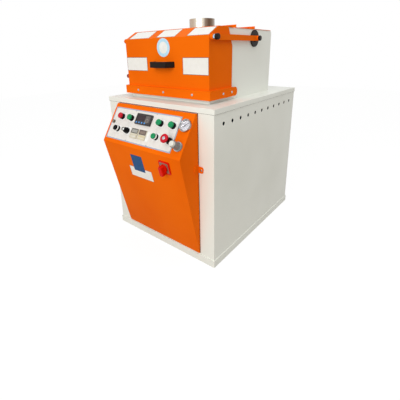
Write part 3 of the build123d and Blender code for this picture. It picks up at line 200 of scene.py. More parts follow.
def brushed_metal(name, tone, darker, roughness, stretch, anisotropic=0.4, scratch_mm=0.8):
    """Metal with scratches along the axis whose stretch is small."""
    made, tree, shader = new_material(name, tone, roughness, 1.0, Anisotropic=anisotropic)
    grain = vary(tree, shader, darker, tone, scratch_mm, detail=4.0, vector=places(tree, stretch))
    spread(tree, shader, "Roughness", grain.outputs["Fac"], roughness + 0.10, roughness - 0.06)
    bump(tree, shader, grain.outputs["Fac"], 0.01, 0.4)
    return made


def plated_metal(name, tone, darker, roughness, cloud_mm):
    """Metal with soft clouds in tone and gloss, as plating has."""
    made, tree, shader = new_material(name, tone, roughness, 1.0)
    cloud = vary(tree, shader, darker, tone, cloud_mm, detail=5.0)
    spread(tree, shader, "Roughness", cloud.outputs["Fac"], roughness + 0.08, roughness - 0.05)
    return made


WAVES_PER_METRE = 3.2


def turned_metal(name, tone, darker, roughness, centre, ring_mm=1.5):
    """Rings round an upright axis; each ring is drawn wider than a real tool mark, so that it shows."""
    made, tree, shader = new_material(name, tone, roughness, 1.0)
    source = add(tree, "ShaderNodeTexCoord")
    shifted = add(tree, "ShaderNodeMapping", {"Vector": source.outputs["Object"],
                                              "Location": (-centre[0], -centre[1], 0), "Scale": (1, 1, 0)})
    rings = add(tree, "ShaderNodeTexWave",
                {"Vector": shifted.outputs[0], "Scale": 1 / (ring_mm * MM) / WAVES_PER_METRE, "Distortion": 0.4},
                wave_type="RINGS", rings_direction="Z")
    ramp = add(tree, "ShaderNodeValToRGB", {"Fac": rings.outputs["Fac"]})
    ramp.color_ramp.elements[0].color = linear(darker)
    ramp.color_ramp.elements[1].color = linear(tone)
    tree.links.new(ramp.outputs["Color"], shader.inputs["Base Color"])
    spread(tree, shader, "Roughness", rings.outputs["Fac"], roughness + 0.06, roughness - 0.04)
    return made


def cast_metal(name, tone, darker, roughness):
    """Painted iron with the coarse skin of a casting."""
    made, tree, shader = new_material(name, tone, roughness, 0.6)
    skin = vary(tree, shader, darker, tone, 6.0, detail=6.0)
    bump(tree, shader, skin.outputs["Fac"], 0.3, 0.5)
    return made


SPIN_AXIS = (0.0, -0.042)
# The bowl's steel is darker than its own tone: painted shade, so that the cabinet looks dark through the vents.
bowl_steel_painted_shade = brushed_metal("darkened_bowl_steel_painted_shade", "7A736B", "544E48", 0.42, (1.0, 1.0, 0.05), scratch_mm=6)
cone_steel = plated_metal("satin_rim_steel", "BDBCBB", "979594", 0.30, 5.0)
zinc = plated_metal("zinc_plated_steel", "C9CDD2", "AEB4BA", 0.30, 9.0)
ground_steel = brushed_metal("ground_bearing_steel", "BFC0C2", "A6A8AA", 0.18, (1.0, 1.0, 0.05), 0.2)
plate_aluminium = brushed_metal("bluish_anodised_aluminium", "BAC4D3", "9EA9BB", 0.30, (0.04, 1.0, 1.0), 0.2)
# The knob collar is bright metal; its pale blue-white tone is painted reflection.
collar_metal_painted_reflection = plated_metal("aluminium_with_painted_blue_reflection", "C4DDF4", "A9C8E6", 0.25, 6.0)
turned_aluminium = turned_metal("turned_aluminium", "C8C9CB", "AEB0B3", 0.30, SPIN_AXIS)
anodised_tube = brushed_metal("clear_anodised_aluminium", "C6C8CC", "B2B5BA", 0.32, (1.0, 1.0, 0.1), 0.2)
iron = cast_metal("painted_cast_iron", "4A4F53", "3B4044", 0.55)
nickel = plated_metal("nickel_plated_brass", "C9BEAC", "A2967F", 0.32, 4.0)
print("metals:", bowl_steel_painted_shade.name, zinc.name, turned_aluminium.name)

# %% [markdown]
# Plastics differ in gloss and in how far light goes in. Moulded ABS for a handle has a fine spark-eroded texture.
# Button caps are tinted polycarbonate, bright and with light inside, which a little subsurface light gives.
# Rubber is nearly black and very rough. The texture of a moulding is a fifth of a millimetre wide, which is too
# fine to show here, so it is drawn at about 1 mm.

# %% Plastics and rubber


def moulded(name, tone, darker, roughness, grain_mm=1.0, grain_depth=0.01, **sockets):
    """Plastic, paint or print with a fine grain; the depth of the grain is in millimetres."""
    made, tree, shader = new_material(name, tone, roughness, IOR=1.49, **sockets)
    vary(tree, shader, darker, tone, 14.0, detail=3.0)
    grain = add(tree, "ShaderNodeTexNoise", {"Vector": places(tree), "Scale": 1 / (grain_mm * MM), "Detail": 2.0})
    spread(tree, shader, "Roughness", grain.outputs["Fac"], roughness - 0.05, roughness + 0.05)
    bump(tree, shader, grain.outputs["Fac"], grain_depth, 0.4)
    return made


black_abs = moulded("black_moulded_abs", "20150F", "170E0A", 0.34, grain_depth=0.05, Specular_IOR_Level=0.12)
black_gloss = moulded("black_gloss_nylon", "0C0C0C", "070708", 0.24, Specular_IOR_Level=0.08)
brown_bezel = moulded("brown_black_polycarbonate", "2E2726", "241E1D", 0.30, grain_depth=0.02)
red_cap = moulded("red_tinted_polycarbonate", "D00D26", "AE071A", 0.22, grain_depth=0.005,
                  Specular_IOR_Level=0.2, Subsurface_Weight=0.1, Subsurface_Scale=0.004)
green_cap = moulded("green_tinted_polycarbonate", "149B60", "0D7F4C", 0.22, grain_depth=0.005,
                    Specular_IOR_Level=0.2, Subsurface_Weight=0.1, Subsurface_Scale=0.004)
stop_red = moulded("red_gloss_nylon", "CC0D26", "B80A1D", 0.24, Specular_IOR_Level=0.2)
switch_red = moulded("red_isolator_polyamide", "E61B06", "D41302", 0.32, grain_depth=0.03, Specular_IOR_Level=0.1)
dark_red = moulded("dark_red_phenolic", "8E1A14", "741009", 0.28)
lock_brown = moulded("brown_lock_enamel", "6B5F50", "5A4F42", 0.35, Specular_IOR_Level=0.2)
pale_grey = moulded("pale_grey_abs", "E5E4DB", "DBD9CF", 0.38, grain_depth=0.05)
regulator_grey = moulded("grey_zinc_paint", "989A98", "858786", 0.36, grain_depth=0.06)
knob_grey = moulded("grey_acetal", "8E8E8C", "777876", 0.28, grain_depth=0.03)
instrument_grey = moulded("warm_grey_abs", "9C978D", "8D887E", 0.40, grain_depth=0.05)
instrument_beige = moulded("beige_abs", "D9D1BC", "CDC4AC", 0.42, grain_depth=0.05)
white_abs = moulded("white_gloss_abs", "F5F5F1", "EDEDE8", 0.25)
rubber = moulded("black_nitrile_rubber", "171717", "0F0F0F", 0.72, grain_depth=0.1)
cream_film = moulded("cream_polyester_film", "EAE5DF", "E4DED7", 0.42, grain_mm=1.6)
legend_white = moulded("white_legend_film", "FBFAF7", "F6F5F1", 0.35)
taupe_abs = moulded("taupe_abs", "92705F", "7D5E51", 0.45)
blank_label = moulded("white_vinyl_label", "F1EFE9", "EDEBE4", 0.40)
label_edge = moulded("grey_printed_border", "59544F", "4C4743", 0.45, Specular_IOR_Level=0.2)
blue_vinyl = moulded("blue_vinyl_label", "1B5288", "164878", 0.38, Specular_IOR_Level=0.12)
sky_enamel = moulded("pale_blue_enamel", "BFE6FA", "B2DDF4", 0.25)
blue_key = moulded("blue_lit_key", "5A9FE2", "4A8FD6", 0.30)
display = moulded("smoked_display_window", "3A2A30", "33252A", 0.14, grain_depth=0.003, Specular_IOR_Level=0.25)
keypad_grey = moulded("grey_brown_keypad", "635A58", "574F4D", 0.42, grain_depth=0.02)
dark_grey_abs = moulded("dark_grey_window_edge", "66635C", "5B5852", 0.42, grain_depth=0.02)
window_grey = moulded("grey_display_window", "A9A7A0", "9D9B94", 0.25, grain_depth=0.003, Specular_IOR_Level=0.2)
brown_abs = moulded("brown_window_edge", "5E504A", "544742", 0.42, grain_depth=0.02)
window_brown = moulded("brown_display_window", "8C7C71", "7F7065", 0.25, grain_depth=0.003, Specular_IOR_Level=0.2)
yellow_abs = moulded("aged_yellow_abs", "DCCFAC", "D0C29C", 0.42, grain_depth=0.05)
dial_white = moulded("white_printed_dial", "DFDDE4", "D3D1D9", 0.45)
dial_print = moulded("grey_dial_print", "6A686E", "5E5C62", 0.5)
ink = moulded("black_printing_ink", "26262A", "1E1E22", 0.5)
lens_glass, _, _ = new_material("clear_gauge_lens", "FFFFFF", 0.03, IOR=1.49, Transmission_Weight=1.0, Alpha=0.12)
print("plastics:", len([m for m in bpy.data.materials if m.users == 0]), "materials waiting for a piece")

# %% [markdown]
# The flue collar is bright stainless sheet. Its light and dark upright bands are painted reflection: they stand in
# for what the bright sheet reflects, and they follow the angle round the spindle's axis, which is the collar's too. A
# radial gradient gives that angle from 0 to 1, a little noise bends it, and a ramp turns it into the painted bands.
# Fine upright scratches darken them.

# %% Flue steel with painted reflections
# Light and dark stops of painted reflection round the flue's axis.
REFLECTION_BANDS = ((0.0, "B9AB9C"), (0.10, "9C8C7D"), (0.16, "BFA893"), (0.25, "CBB8A3"), (0.30, "DDD6C8"), (0.38, "DAD2C1"),
         (0.405, "94806F"), (0.45, "68503F"), (0.49, "7A6554"), (0.55, "A8988A"), (0.62, "94836F"), (0.70, "D8CFC3"),
         (0.80, "8F7B6C"), (0.90, "C9BCAE"))
flue_steel, tree, shader = new_material("stainless_steel_painted_reflections", "C9BCAE", 0.24, 1.0, Anisotropic=0.4)
source = add(tree, "ShaderNodeTexCoord")
bend = add(tree, "ShaderNodeTexNoise", {"Vector": source.outputs["Object"], "Scale": 18.0, "Detail": 2.0})
shifted = add(tree, "ShaderNodeMapping", {"Vector": source.outputs["Object"],
                                          "Location": (-SPIN_AXIS[0], -SPIN_AXIS[1], 0)})
bent = add(tree, "ShaderNodeVectorMath", {0: bend.outputs["Color"], 1: (0.006, 0.006, 0.0), 2: shifted.outputs[0]},
           operation="MULTIPLY_ADD")
around = add(tree, "ShaderNodeTexGradient", {"Vector": bent.outputs[0]}, gradient_type="RADIAL")
band_colour = add(tree, "ShaderNodeValToRGB", {"Fac": around.outputs["Fac"]})
ramp = band_colour.color_ramp
for position, colour in REFLECTION_BANDS[2:]:
    ramp.elements.new(position)
for element, (position, colour) in zip(ramp.elements, REFLECTION_BANDS):
    element.position = position
    element.color = linear(colour)
scratches = add(tree, "ShaderNodeTexNoise", {"Vector": places(tree, (1.0, 1.0, 0.04)), "Scale": 1 / (3.0 * MM),
                                             "Detail": 3.0})
shade = add(tree, "ShaderNodeMapRange", {"Value": scratches.outputs["Fac"], "To Min": 0.82, "To Max": 1.08})
banded = add(tree, "ShaderNodeVectorMath", {0: band_colour.outputs["Color"], 3: shade.outputs[0]}, operation="SCALE")
tree.links.new(banded.outputs[0], shader.inputs["Base Color"])
spread(tree, shader, "Roughness", scratches.outputs["Fac"], 0.20, 0.32)
print("painted reflection bands round the flue:", len(ramp.elements))

# %% [markdown]
# A finish goes onto a solid by putting the material into the slot that the solid already has. The solid itself
# is never touched. The table pairs every solid with the finish of the real piece.

# %% Finish for every solid
FINISHES = {
    white_coat: "plinth front_frame side_panel_left side_panel_right top_plate chamber_housing",
    rear_coat_primer_and_shade: "rear_panel",
    orange_coat: "hood_shell hood_skirt hood_arms roof_plates front_door",
    frame_coat: "inner_frame",
    blue_coat: "motor_body",
    flue_steel: "flue_collar",
    bowl_steel_painted_shade: "chamber_bowl",
    cone_steel: "gauge_case",
    zinc: "door_hinges vacuum_pipe pivot_pins skirt_screws door_screws",
    ground_steel: "spindle_bearings spindle cylinder_rod",
    plate_aluminium: "control_plate",
    collar_metal_painted_reflection: "knob_collar",
    turned_aluminium: "turntable pressure_plate lift_plate",
    anodised_tube: "clamp_cylinder",
    iron: "bearing_housing spindle_pulley motor_pulley vacuum_pump",
    nickel: "panel_lock",
    black_abs: "hood_handle pivot_discs pivot_caps front_knob cable_gland",
    black_gloss: "button_bezels black_button selector",
    brown_bezel: "speed_controller",
    red_cap: "stop_button",
    green_cap: "start_button_1 start_button_2 start_button_3 lit_start_button",
    stop_red: "emergency_stop",
    switch_red: "isolator_plate isolator_handle",
    dark_red: "catch_knob",
    regulator_grey: "regulator_body",
    knob_grey: "regulator_knob",
    instrument_beige: "timers",
    rubber: "hood_seal drive_belt",
    ink: "gauge_needle",
}
for finish, names in FINISHES.items():
    for name in names.split():
        solid = nodes[name]
        if not solid.material_slots:
            solid.data.materials.append(finish)
        for holder in solid.material_slots:
            holder.material = finish
finished = {name for names in FINISHES.values() for name in names.split()}
print("solids without a finish:", sorted(set(nodes) - finished))

# %% [markdown]
# The small pieces lie on slanted sheets, so each is made flat, in millimetres, about the origin of its own face,
# and a matrix then carries its mesh to its place. The face's X runs across the machine, its Y up the sheet and
# its Z out of it. The origins are points of the solids, in millimetres. The place ends in the mesh, and the
# object stays at the origin, as the solids do.

# %% Faces that carry pieces


def face(origin, across, upward):
    """The matrix from a face's own millimetres to the machine's metres."""
    x, y = Vector(across), Vector(upward).normalized()
    axes = Matrix((x, y, x.cross(y))).transposed().to_4x4()
    return Matrix.Translation(Vector(origin) * MM) @ axes @ Matrix.Scale(MM, 4)


ACROSS, TO_REAR, TO_FRONT, UPWARD = (1, 0, 0), (0, 1, 0), (0, -1, 0), (0, 0, 1)
HOOD_NOSE, SKIRT_NOSE, SKIRT_SIDE, HEAD_HEIGHT = -342, -354.4, 279, 2.6
CONTROL = face((0, -487.75, 656.75), ACROSS, (0, 111.5, 173.5))
UNDER = face((0, -543.5, 570), ACROSS, (0, -118.5, 526))
HOOD_FRONT = face((0, HOOD_NOSE, 0), ACROSS, UPWARD)
HOOD_FACET = face((0, HOOD_NOSE, 1052), ACROSS, (0, 70, 39))
SKIRT_FRONT = face((0, SKIRT_NOSE - HEAD_HEIGHT, 0), ACROSS, UPWARD)
SKIRT_RIGHT = face((SKIRT_SIDE + HEAD_HEIGHT, 0, 0), TO_REAR, UPWARD)
SKIRT_LEFT = face((-SKIRT_SIDE - HEAD_HEIGHT, 0, 0), TO_FRONT, UPWARD)
print("the control face looks along", [round(v, 3) for v in CONTROL.col[2].xyz / MM])


def place(name, mesh, where, body, materials=()):
    """Puts a flat-made mesh in its place and lets it ride on a body."""
    mesh.transform(where)
    mesh.update()
    for finish in materials:
        mesh.materials.append(finish)
    made = bpy.data.objects.new(name, mesh)
    bpy.context.scene.collection.objects.link(made)
    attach(made, body)
    return made


# %% [markdown]
# Films, labels and windows are thin slabs with round corners. One builder makes them all: rings of points at the
# bottom, at the top and, if it has a rim, a little inside the top. The rim takes the first material and the field
# inside it the second, so that a printed border needs no second piece. With a corner as large as half its
# side the slab is a disc.

# %% Slabs with round corners


def round_outline(width, height, corner, steps):
    """Points round a rectangle with round corners, anticlockwise."""
    points = []
    for quarter, (sx, sy) in enumerate(((1, 1), (-1, 1), (-1, -1), (1, -1))):
        cx, cy = sx * (width / 2 - corner), sy * (height / 2 - corner)
        for i in range(steps + 1):
            angle = math.radians(90 * quarter + 90 * i / steps)
            points.append((cx + corner * math.cos(angle), cy + corner * math.sin(angle)))
    return points


def slab_into(bm, centre, size, corner, low, high, rim=0.0, steps=6, first=0):
    """Adds one slab to a bmesh, with its rim in material `first` and its field in the next one.

    Its corners have so many steps, and it reaches from the height `low` to `high`.
    """
    rings = []
    for inset_by, level in ((0.0, low), (0.0, high)) + (((rim, high),) if rim else ()):
        outline = round_outline(size[0] - 2 * inset_by, size[1] - 2 * inset_by, max(corner - inset_by, 0.01), steps)
        rings.append([bm.verts.new((centre[0] + x, centre[1] + y, level)) for x, y in outline])
    bm.faces.new(reversed(rings[0])).material_index = first
    for lower, upper in zip(rings, rings[1:]):
        for i in range(len(lower)):
            j = (i + 1) % len(lower)
            bm.faces.new((lower[i], lower[j], upper[j], upper[i])).material_index = first
    bm.faces.new(rings[-1]).material_index = first + 1 if rim else first


def slabs(name, rows, where, body, materials):
    """One mesh of slabs; each row holds what slab_into takes after the bmesh."""
    bm = bmesh.new()
    for row in rows:
        slab_into(bm, *row)
    mesh = bpy.data.meshes.new(name)
    bm.to_mesh(mesh)
    bm.free()
    return place(name, mesh, where, body, materials)


# %% [markdown]
# The control plate is sheet aluminium with a printed polyester film on it. The film leaves a bluish border of bare
# metal round its edge. It is less than a tenth of a millimetre thick, because it only has to catch the light as
# a different skin, and it must stay below the lock that turns above it.

# %% Film on the control plate
PLATE_FRONT = 1.5
PLATE_LEFT, PLATE_RIGHT, PLATE_TOP, PLATE_BOTTOM = -250.0, 200.0, 83.1, -83.9
FILM_BORDER, FILM_THICK = 5.5, 0.08
film_top = PLATE_FRONT + FILM_THICK
plate_middle = ((PLATE_LEFT + PLATE_RIGHT) / 2, (PLATE_TOP + PLATE_BOTTOM) / 2)
film_size = (PLATE_RIGHT - PLATE_LEFT - 2 * FILM_BORDER, PLATE_TOP - PLATE_BOTTOM - 2 * FILM_BORDER)
slabs("control_film", [(plate_middle, film_size, 3.0, PLATE_FRONT, film_top)], CONTROL, "door", [cream_film])
print("film size in mm:", film_size)

# %% [markdown]
# Round each push button and the selector lies a white legend plate, a rectangle with round corners. Seven alike
# are a job for Geometry Nodes: the tree takes a mesh of points, draws one rectangle with filleted corners, fills
# and thickens it, and puts a copy on every point. Realize Instances makes the copies real, because an export
# drops instances, and Set Material gives them their finish. Keys and screw recesses use the same tree in other
# sizes.

# %% A tree that puts small plates on points


def new_tree(name, sizes):
    """A Geometry Nodes tree with a mesh going in and out, named number inputs and a material input."""
    made = bpy.data.node_groups.new(name, "GeometryNodeTree")
    made.interface.new_socket("Geometry", in_out="INPUT", socket_type="NodeSocketGeometry")
    for size_name in sizes:
        made.interface.new_socket(size_name, in_out="INPUT", socket_type="NodeSocketFloat")
    made.interface.new_socket("Finish", in_out="INPUT", socket_type="NodeSocketMaterial")
    made.interface.new_socket("Geometry", in_out="OUTPUT", socket_type="NodeSocketGeometry")
    return made, add(made, "NodeGroupInput").outputs


def end_tree(tree, copies, finish):
    """Makes a tree's copies real, gives them their finish and hands them out."""
    real = add(tree, "GeometryNodeRealizeInstances", {"Geometry": copies.outputs[0]})
    coated = add(tree, "GeometryNodeSetMaterial", {"Geometry": real.outputs[0], "Material": finish})
    add(tree, "NodeGroupOutput", {0: coated.outputs[0]})


plate_tree, given = new_tree("plates_on_points", ("Width", "Height", "Corner Radius", "Thickness"))
outline = add(plate_tree, "GeometryNodeCurvePrimitiveQuadrilateral", {"Width": given["Width"],
                                                                      "Height": given["Height"]})
rounded = add(plate_tree, "GeometryNodeFilletCurve", {"Curve": outline.outputs[0], "Radius": given["Corner Radius"],
                                                      "Count": 6}, mode="POLY")
sheet = add(plate_tree, "GeometryNodeFillCurve", {"Curve": rounded.outputs[0]}, mode="NGONS")
raised = add(plate_tree, "GeometryNodeExtrudeMesh", {"Mesh": sheet.outputs[0], "Offset Scale": given["Thickness"],
                                                     "Individual": False}, mode="FACES")
underside = add(plate_tree, "GeometryNodeFlipFaces", {"Mesh": sheet.outputs[0]})
both = add(plate_tree, "GeometryNodeJoinGeometry")
plate_tree.links.new(underside.outputs[0], both.inputs[0])
plate_tree.links.new(raised.outputs["Mesh"], both.inputs[0])
closed = add(plate_tree, "GeometryNodeMergeByDistance", {"Geometry": both.outputs[0], "Distance": 0.001})
copies = add(plate_tree, "GeometryNodeInstanceOnPoints", {"Points": given["Geometry"], "Instance": closed.outputs[0]})
end_tree(plate_tree, copies, given["Finish"])


def grow(name, tree, mesh, sizes, finish, where, body):
    """Runs a tree on a mesh, bakes the result and puts it in its place."""
    seed = bpy.data.objects.new(name + "_seed", mesh)
    bpy.context.scene.collection.objects.link(seed)
    run = seed.modifiers.new("grow", "NODES")
    run.node_group = tree
    for item in tree.interface.items_tree:
        if item.in_out == "INPUT" and item.name != "Geometry":
            run[item.identifier] = finish if item.name == "Finish" else float(sizes[item.name])
    baked = bpy.data.meshes.new_from_object(seed.evaluated_get(bpy.context.evaluated_depsgraph_get()))
    seed.modifiers.remove(run)
    bpy.data.objects.remove(seed)
    return place(name, baked, where, body, ())


def point_mesh(points):
    mesh = bpy.data.meshes.new("points")
    mesh.from_pydata(points, [], [])
    return mesh


# %% [markdown]
# The buttons stand in two rows. A legend plate reaches a little higher than its button, to leave room for a word,
# so its middle lies above the row. The plates stay blank.

# %% Legend plates
UPPER_ROW, LOWER_ROW = 35.6, -29.9
STOP_X, START_XS, LIT_X = -178.0, (-108.0, 92.0, 167.5), 90.0
BLACK_X, SELECTOR_X = -181.0, -108.0
LEGEND_RISE = 1.5
legend_points = [(x, UPPER_ROW + LEGEND_RISE, film_top) for x in (STOP_X, *START_XS)]
legend_points += [(x, LOWER_ROW + LEGEND_RISE, film_top) for x in (LIT_X, BLACK_X, SELECTOR_X)]
legends = grow("legend_plates", plate_tree, point_mesh(legend_points),
               {"Width": 35, "Height": 38, "Corner Radius": 4, "Thickness": 0.4}, legend_white, CONTROL, "door")
print("legend plates:", len(legend_points), "faces:", len(legends.data.polygons))

# %% [markdown]
# Round things that stand on the faces are turned: a half outline of radius and height is swept round the face's
# Z. The sweep is closed at the axis, so that no pole is left open, and the outline runs from the axis below to
# the axis above, so that the faces point outward.

# %% Turned pieces


def turned(name, outline, centre, where, body, materials, steps=48, smooth=True):
    """Sweeps (radius, height) points round Z; a radius of 0 is a pole."""
    bm = bmesh.new()
    rings = []
    for radius, height in outline:
        count = 1 if radius == 0 else steps
        rings.append([bm.verts.new((centre[0] + radius * math.cos(math.tau * i / steps),
                                    centre[1] + radius * math.sin(math.tau * i / steps), height))
                      for i in range(count)])
    for lower, upper in zip(rings, rings[1:] + (rings[:1] if outline[0][0] else [])):
        for i in range(steps):
            j = (i + 1) % steps
            corners = [lower[i % len(lower)], lower[j % len(lower)], upper[j % len(upper)], upper[i % len(upper)]]
            unique = [v for k, v in enumerate(corners) if v not in corners[:k]]
            bm.faces.new(unique).smooth = smooth
    mesh = bpy.data.meshes.new(name)
    bm.to_mesh(mesh)
    bm.free()
    if smooth:
        mesh.set_sharp_from_angle(angle=math.radians(35))
    return place(name, mesh, where, body, materials)


# %% [markdown]
# The cap of the emergency stop is a thin red disc on a long neck, and both are one solid. Three turned skins tell
# them apart: a silver spot in the middle of the cap, a black sleeve round the neck, and a white ring under the cap.
# They ride on the stop and go down with it.

# %% Centre, neck and ring of the emergency stop
EMERGENCY = (177.0, -32.9)
turned("emergency_centre", [(0, 44.6), (7.5, 44.6), (7.5, 45.2), (6.8, 45.5), (0, 45.5)], EMERGENCY, CONTROL,
       "emergency_stop", [zinc])
turned("emergency_neck", [(11.9, 19.1), (12.5, 19.1), (12.5, 38.4), (11.9, 38.4)], EMERGENCY, CONTROL,
       "emergency_stop", [black_gloss])
turned("emergency_ring", [(12.4, 34.9), (14.6, 34.9), (15.2, 35.6), (15.2, 38.4), (12.4, 38.4)], EMERGENCY, CONTROL,
       "emergency_stop", [white_abs])
print("emergency stop at", EMERGENCY)

# %% [markdown]
# The lit start button and the black button each stand in a tall white collar. The collar is fixed to the black
# bezel, leaves the cap its running gap, and hides the cap's lower half.

# %% White collars of two buttons
COLLAR_LOW, COLLAR_TOP = 11.9, 19.0
button_ring = [(13.1, COLLAR_LOW), (14.2, COLLAR_LOW), (14.2, COLLAR_TOP - 0.8), (13.8, COLLAR_TOP),
               (13.4, COLLAR_TOP), (13.1, COLLAR_TOP - 0.4)]
for name, x in (("lit_button_ring", LIT_X), ("black_button_ring", BLACK_X)):
    turned(name, button_ring, (x, LOWER_ROW), CONTROL, "door", [white_abs])
print("collar top at", COLLAR_TOP, "mm")

# %% [markdown]
# The panel lock is a bright plug in a dark ring that lies over its edge. The ring turns with the plug.

# %% Ring of the panel lock
LOCK = (-231.0, 3.1)
turned("lock_ring", [(8.3, 1.75), (8.75, 1.75), (8.75, 9.0), (7.9, 9.85), (5.0, 9.85), (5.0, 9.4)], LOCK, CONTROL,
       "panel_lock", [lock_brown])
print("lock ring at", LOCK)

# %% [markdown]
# The selector's broad grip has a white insert in its top, which says how it stands. It is made straight, and
# one more turn in its matrix lays it along the grip. It rides on the selector and turns with it.

# %% Selector insert
GRIP_TOP, GRIP_TURN, INSERT_PROUD = 29.9, math.radians(80), 0.35
along_grip = CONTROL @ Matrix.Translation((SELECTOR_X, LOWER_ROW, 0)) @ Matrix.Rotation(GRIP_TURN, 4, "Z")
slabs("selector_insert", [((0, 0), (9.5, 11), 3.2, GRIP_TOP - 0.5, GRIP_TOP + INSERT_PROUD)], along_grip,
      "selector", [white_abs])
print("insert top at", GRIP_TOP + INSERT_PROUD, "mm")

# %% [markdown]
# The controller is a dark instrument: a smoked window for the digits at the left, a paler keypad with a round key at
# the right, and four lit keys along its lower edge. All lie in the sunk face of the housing.

# %% Controller face
CONTROLLER = (-20.0, 38.1)
CONTROLLER_FACE = 9.3


def on_controller(name, right, above, size, corner, proud, materials, rim=0.0, steps=6):
    """One slab on the controller's face, so far right of its middle and above it."""
    row = ((CONTROLLER[0] + right, CONTROLLER[1] + above), size, corner, CONTROLLER_FACE, CONTROLLER_FACE + proud,
           rim, steps)
    return slabs(name, [row], CONTROL, "door", materials)


on_controller("controller_window", -17, 5.5, (53, 27), 2.0, 0.6, [brown_bezel, display], 1.0, 5)
on_controller("controller_keypad", 27, 3, (30, 33), 3.0, 0.3, [keypad_grey])
on_controller("controller_round_key", 25, -5, (21, 21), 10.5, 0.7, [instrument_grey, keypad_grey], 2.2, 10)
key_points = [(x, CONTROLLER[1] - 17.5, CONTROLLER_FACE) for x in (-61.0, -42.0, -23.5, -4.5)]
grow("controller_keys", plate_tree, point_mesh(key_points),
     {"Width": 8.5, "Height": 7.5, "Corner Radius": 2, "Thickness": 0.9}, blue_key, CONTROL, "door")
print("controller keys:", len(key_points))

# %% [markdown]
# The upper half of each timer is a dark frame with a window, and the lower half a keypad that is sunk a little in
# the housing. The first window is grey and the second brown, and the second keypad is the yellower one: plastic of
# different age.

# %% Timer faces
TIMER_XS, TIMER_Y, TIMER_FACE = (-52.5, 4.0), -34.9, 7.0
PAD_TOP = TIMER_FACE - 0.3
for number, (x, edge, pane, pad) in enumerate(((TIMER_XS[0], dark_grey_abs, window_grey, instrument_beige),
                                               (TIMER_XS[1], brown_abs, window_brown, yellow_abs)), start=1):
    rows = [((x, TIMER_Y + 11.8), (46.5, 23.5), 1.0, TIMER_FACE - 0.8, TIMER_FACE + 0.25, 4.5, 4),
            ((x, TIMER_Y - 12), (39, 18), 1.0, TIMER_FACE - 0.6, PAD_TOP, 0, 4, 2)]
    slabs(f"timer_face_{number}", rows, CONTROL, "door", [edge, pane, pad])
timer_keys = [(x + dx, TIMER_Y - 15.5, PAD_TOP) for x in TIMER_XS for dx in (-12.5, -4.2, 4.2, 12.5)]
grow("timer_keys", plate_tree, point_mesh(timer_keys),
     {"Width": 6, "Height": 4, "Corner Radius": 1.0, "Thickness": 0.4}, pale_grey, CONTROL, "door")
slabs("blank_patch", [((35.0, -36.9), (23, 47), 1.5, film_top, film_top + 0.25, 0, 4)], CONTROL, "door",
      [white_abs])
print("timer keys:", len(timer_keys))

# %% [markdown]
# The gauge has a printed dial, a ring of marks, plain numbers and a clear lens. Marks that go round are one bar,
# repeated: a second tree takes the bar and sets copies at equal steps of angle about the face's Z. The same tree
# makes bolt circles.

# %% A tree that repeats a piece round an axis
ring_tree, given = new_tree("repeat_round_axis", ("Count", "First Angle", "Step Angle"))
spots = add(ring_tree, "GeometryNodeMeshLine", {"Count": given["Count"], "Offset": (0.0, 0.0, 0.0)}, mode="OFFSET")
index = add(ring_tree, "GeometryNodeInputIndex")
angle = add(ring_tree, "ShaderNodeMath", {0: index.outputs[0], 1: given["Step Angle"], 2: given["First Angle"]},
            operation="MULTIPLY_ADD")
turn = add(ring_tree, "ShaderNodeCombineXYZ", {"Z": angle.outputs[0]})
turn = add(ring_tree, "FunctionNodeEulerToRotation", {0: turn.outputs[0]})
copies = add(ring_tree, "GeometryNodeInstanceOnPoints", {"Points": spots.outputs[0], "Instance": given["Geometry"],
                                                         "Rotation": turn.outputs[0]})
end_tree(ring_tree, copies, given["Finish"])


def bar_mesh(inner, outer, width, low, high):
    """A bar that lies along X from one radius to another."""
    bm = bmesh.new()
    slab_into(bm, ((inner + outer) / 2, 0), (outer - inner, width), width * 0.2, low, high, 0, 2)
    mesh = bpy.data.meshes.new("bar")
    bm.to_mesh(mesh)
    bm.free()
    return mesh


def ring_at(name, mesh, count, first, step, finish, centre, where, body):
    """Repeats a mesh round a centre on a face; the angles are in degrees."""
    sizes = {"Count": count, "First Angle": math.radians(first), "Step Angle": math.radians(step)}
    spot = where @ Matrix.Translation((centre[0], centre[1], 0))
    return grow(name, ring_tree, mesh, sizes, finish, spot, body)


# %% [markdown]
# The dial is a printed disc. Its scale runs over 270 degrees, from the lower left clockwise, with six long marks
# and nine degrees from one short mark to the next.

# %% Gauge dial and marks
GAUGE, DIAL_LOW, DIAL_RADIUS = (232.5, 46.1), 4.0, 22.0
DIAL_TOP = DIAL_LOW + 0.15
slabs("gauge_dial", [(GAUGE, (2 * DIAL_RADIUS, 2 * DIAL_RADIUS), DIAL_RADIUS, DIAL_LOW, DIAL_TOP, 0, 12)],
      CONTROL, "door", [dial_white])
MARK_TOP, MARK_END = DIAL_TOP + 0.1, 20.0
SCALE_START, LONG_STEP, SHORT_STEP = 225, 54, 9
for name, inner_end, width, count, step in (("gauge_long_marks", 17.0, 0.7, 6, LONG_STEP),
                                            ("gauge_short_marks", 18.5, 0.4, 31, SHORT_STEP)):
    ring_at(name, bar_mesh(inner_end, MARK_END, width, DIAL_TOP, MARK_TOP), count, SCALE_START, -step, dial_print,
            GAUGE, CONTROL, "door")
print("gauge radius in mm:", DIAL_RADIUS)

# %% [markdown]
# The numbers at the long marks stay upright, so they are not turned with the scale. Each is a text, and it becomes
# a mesh before it is placed.

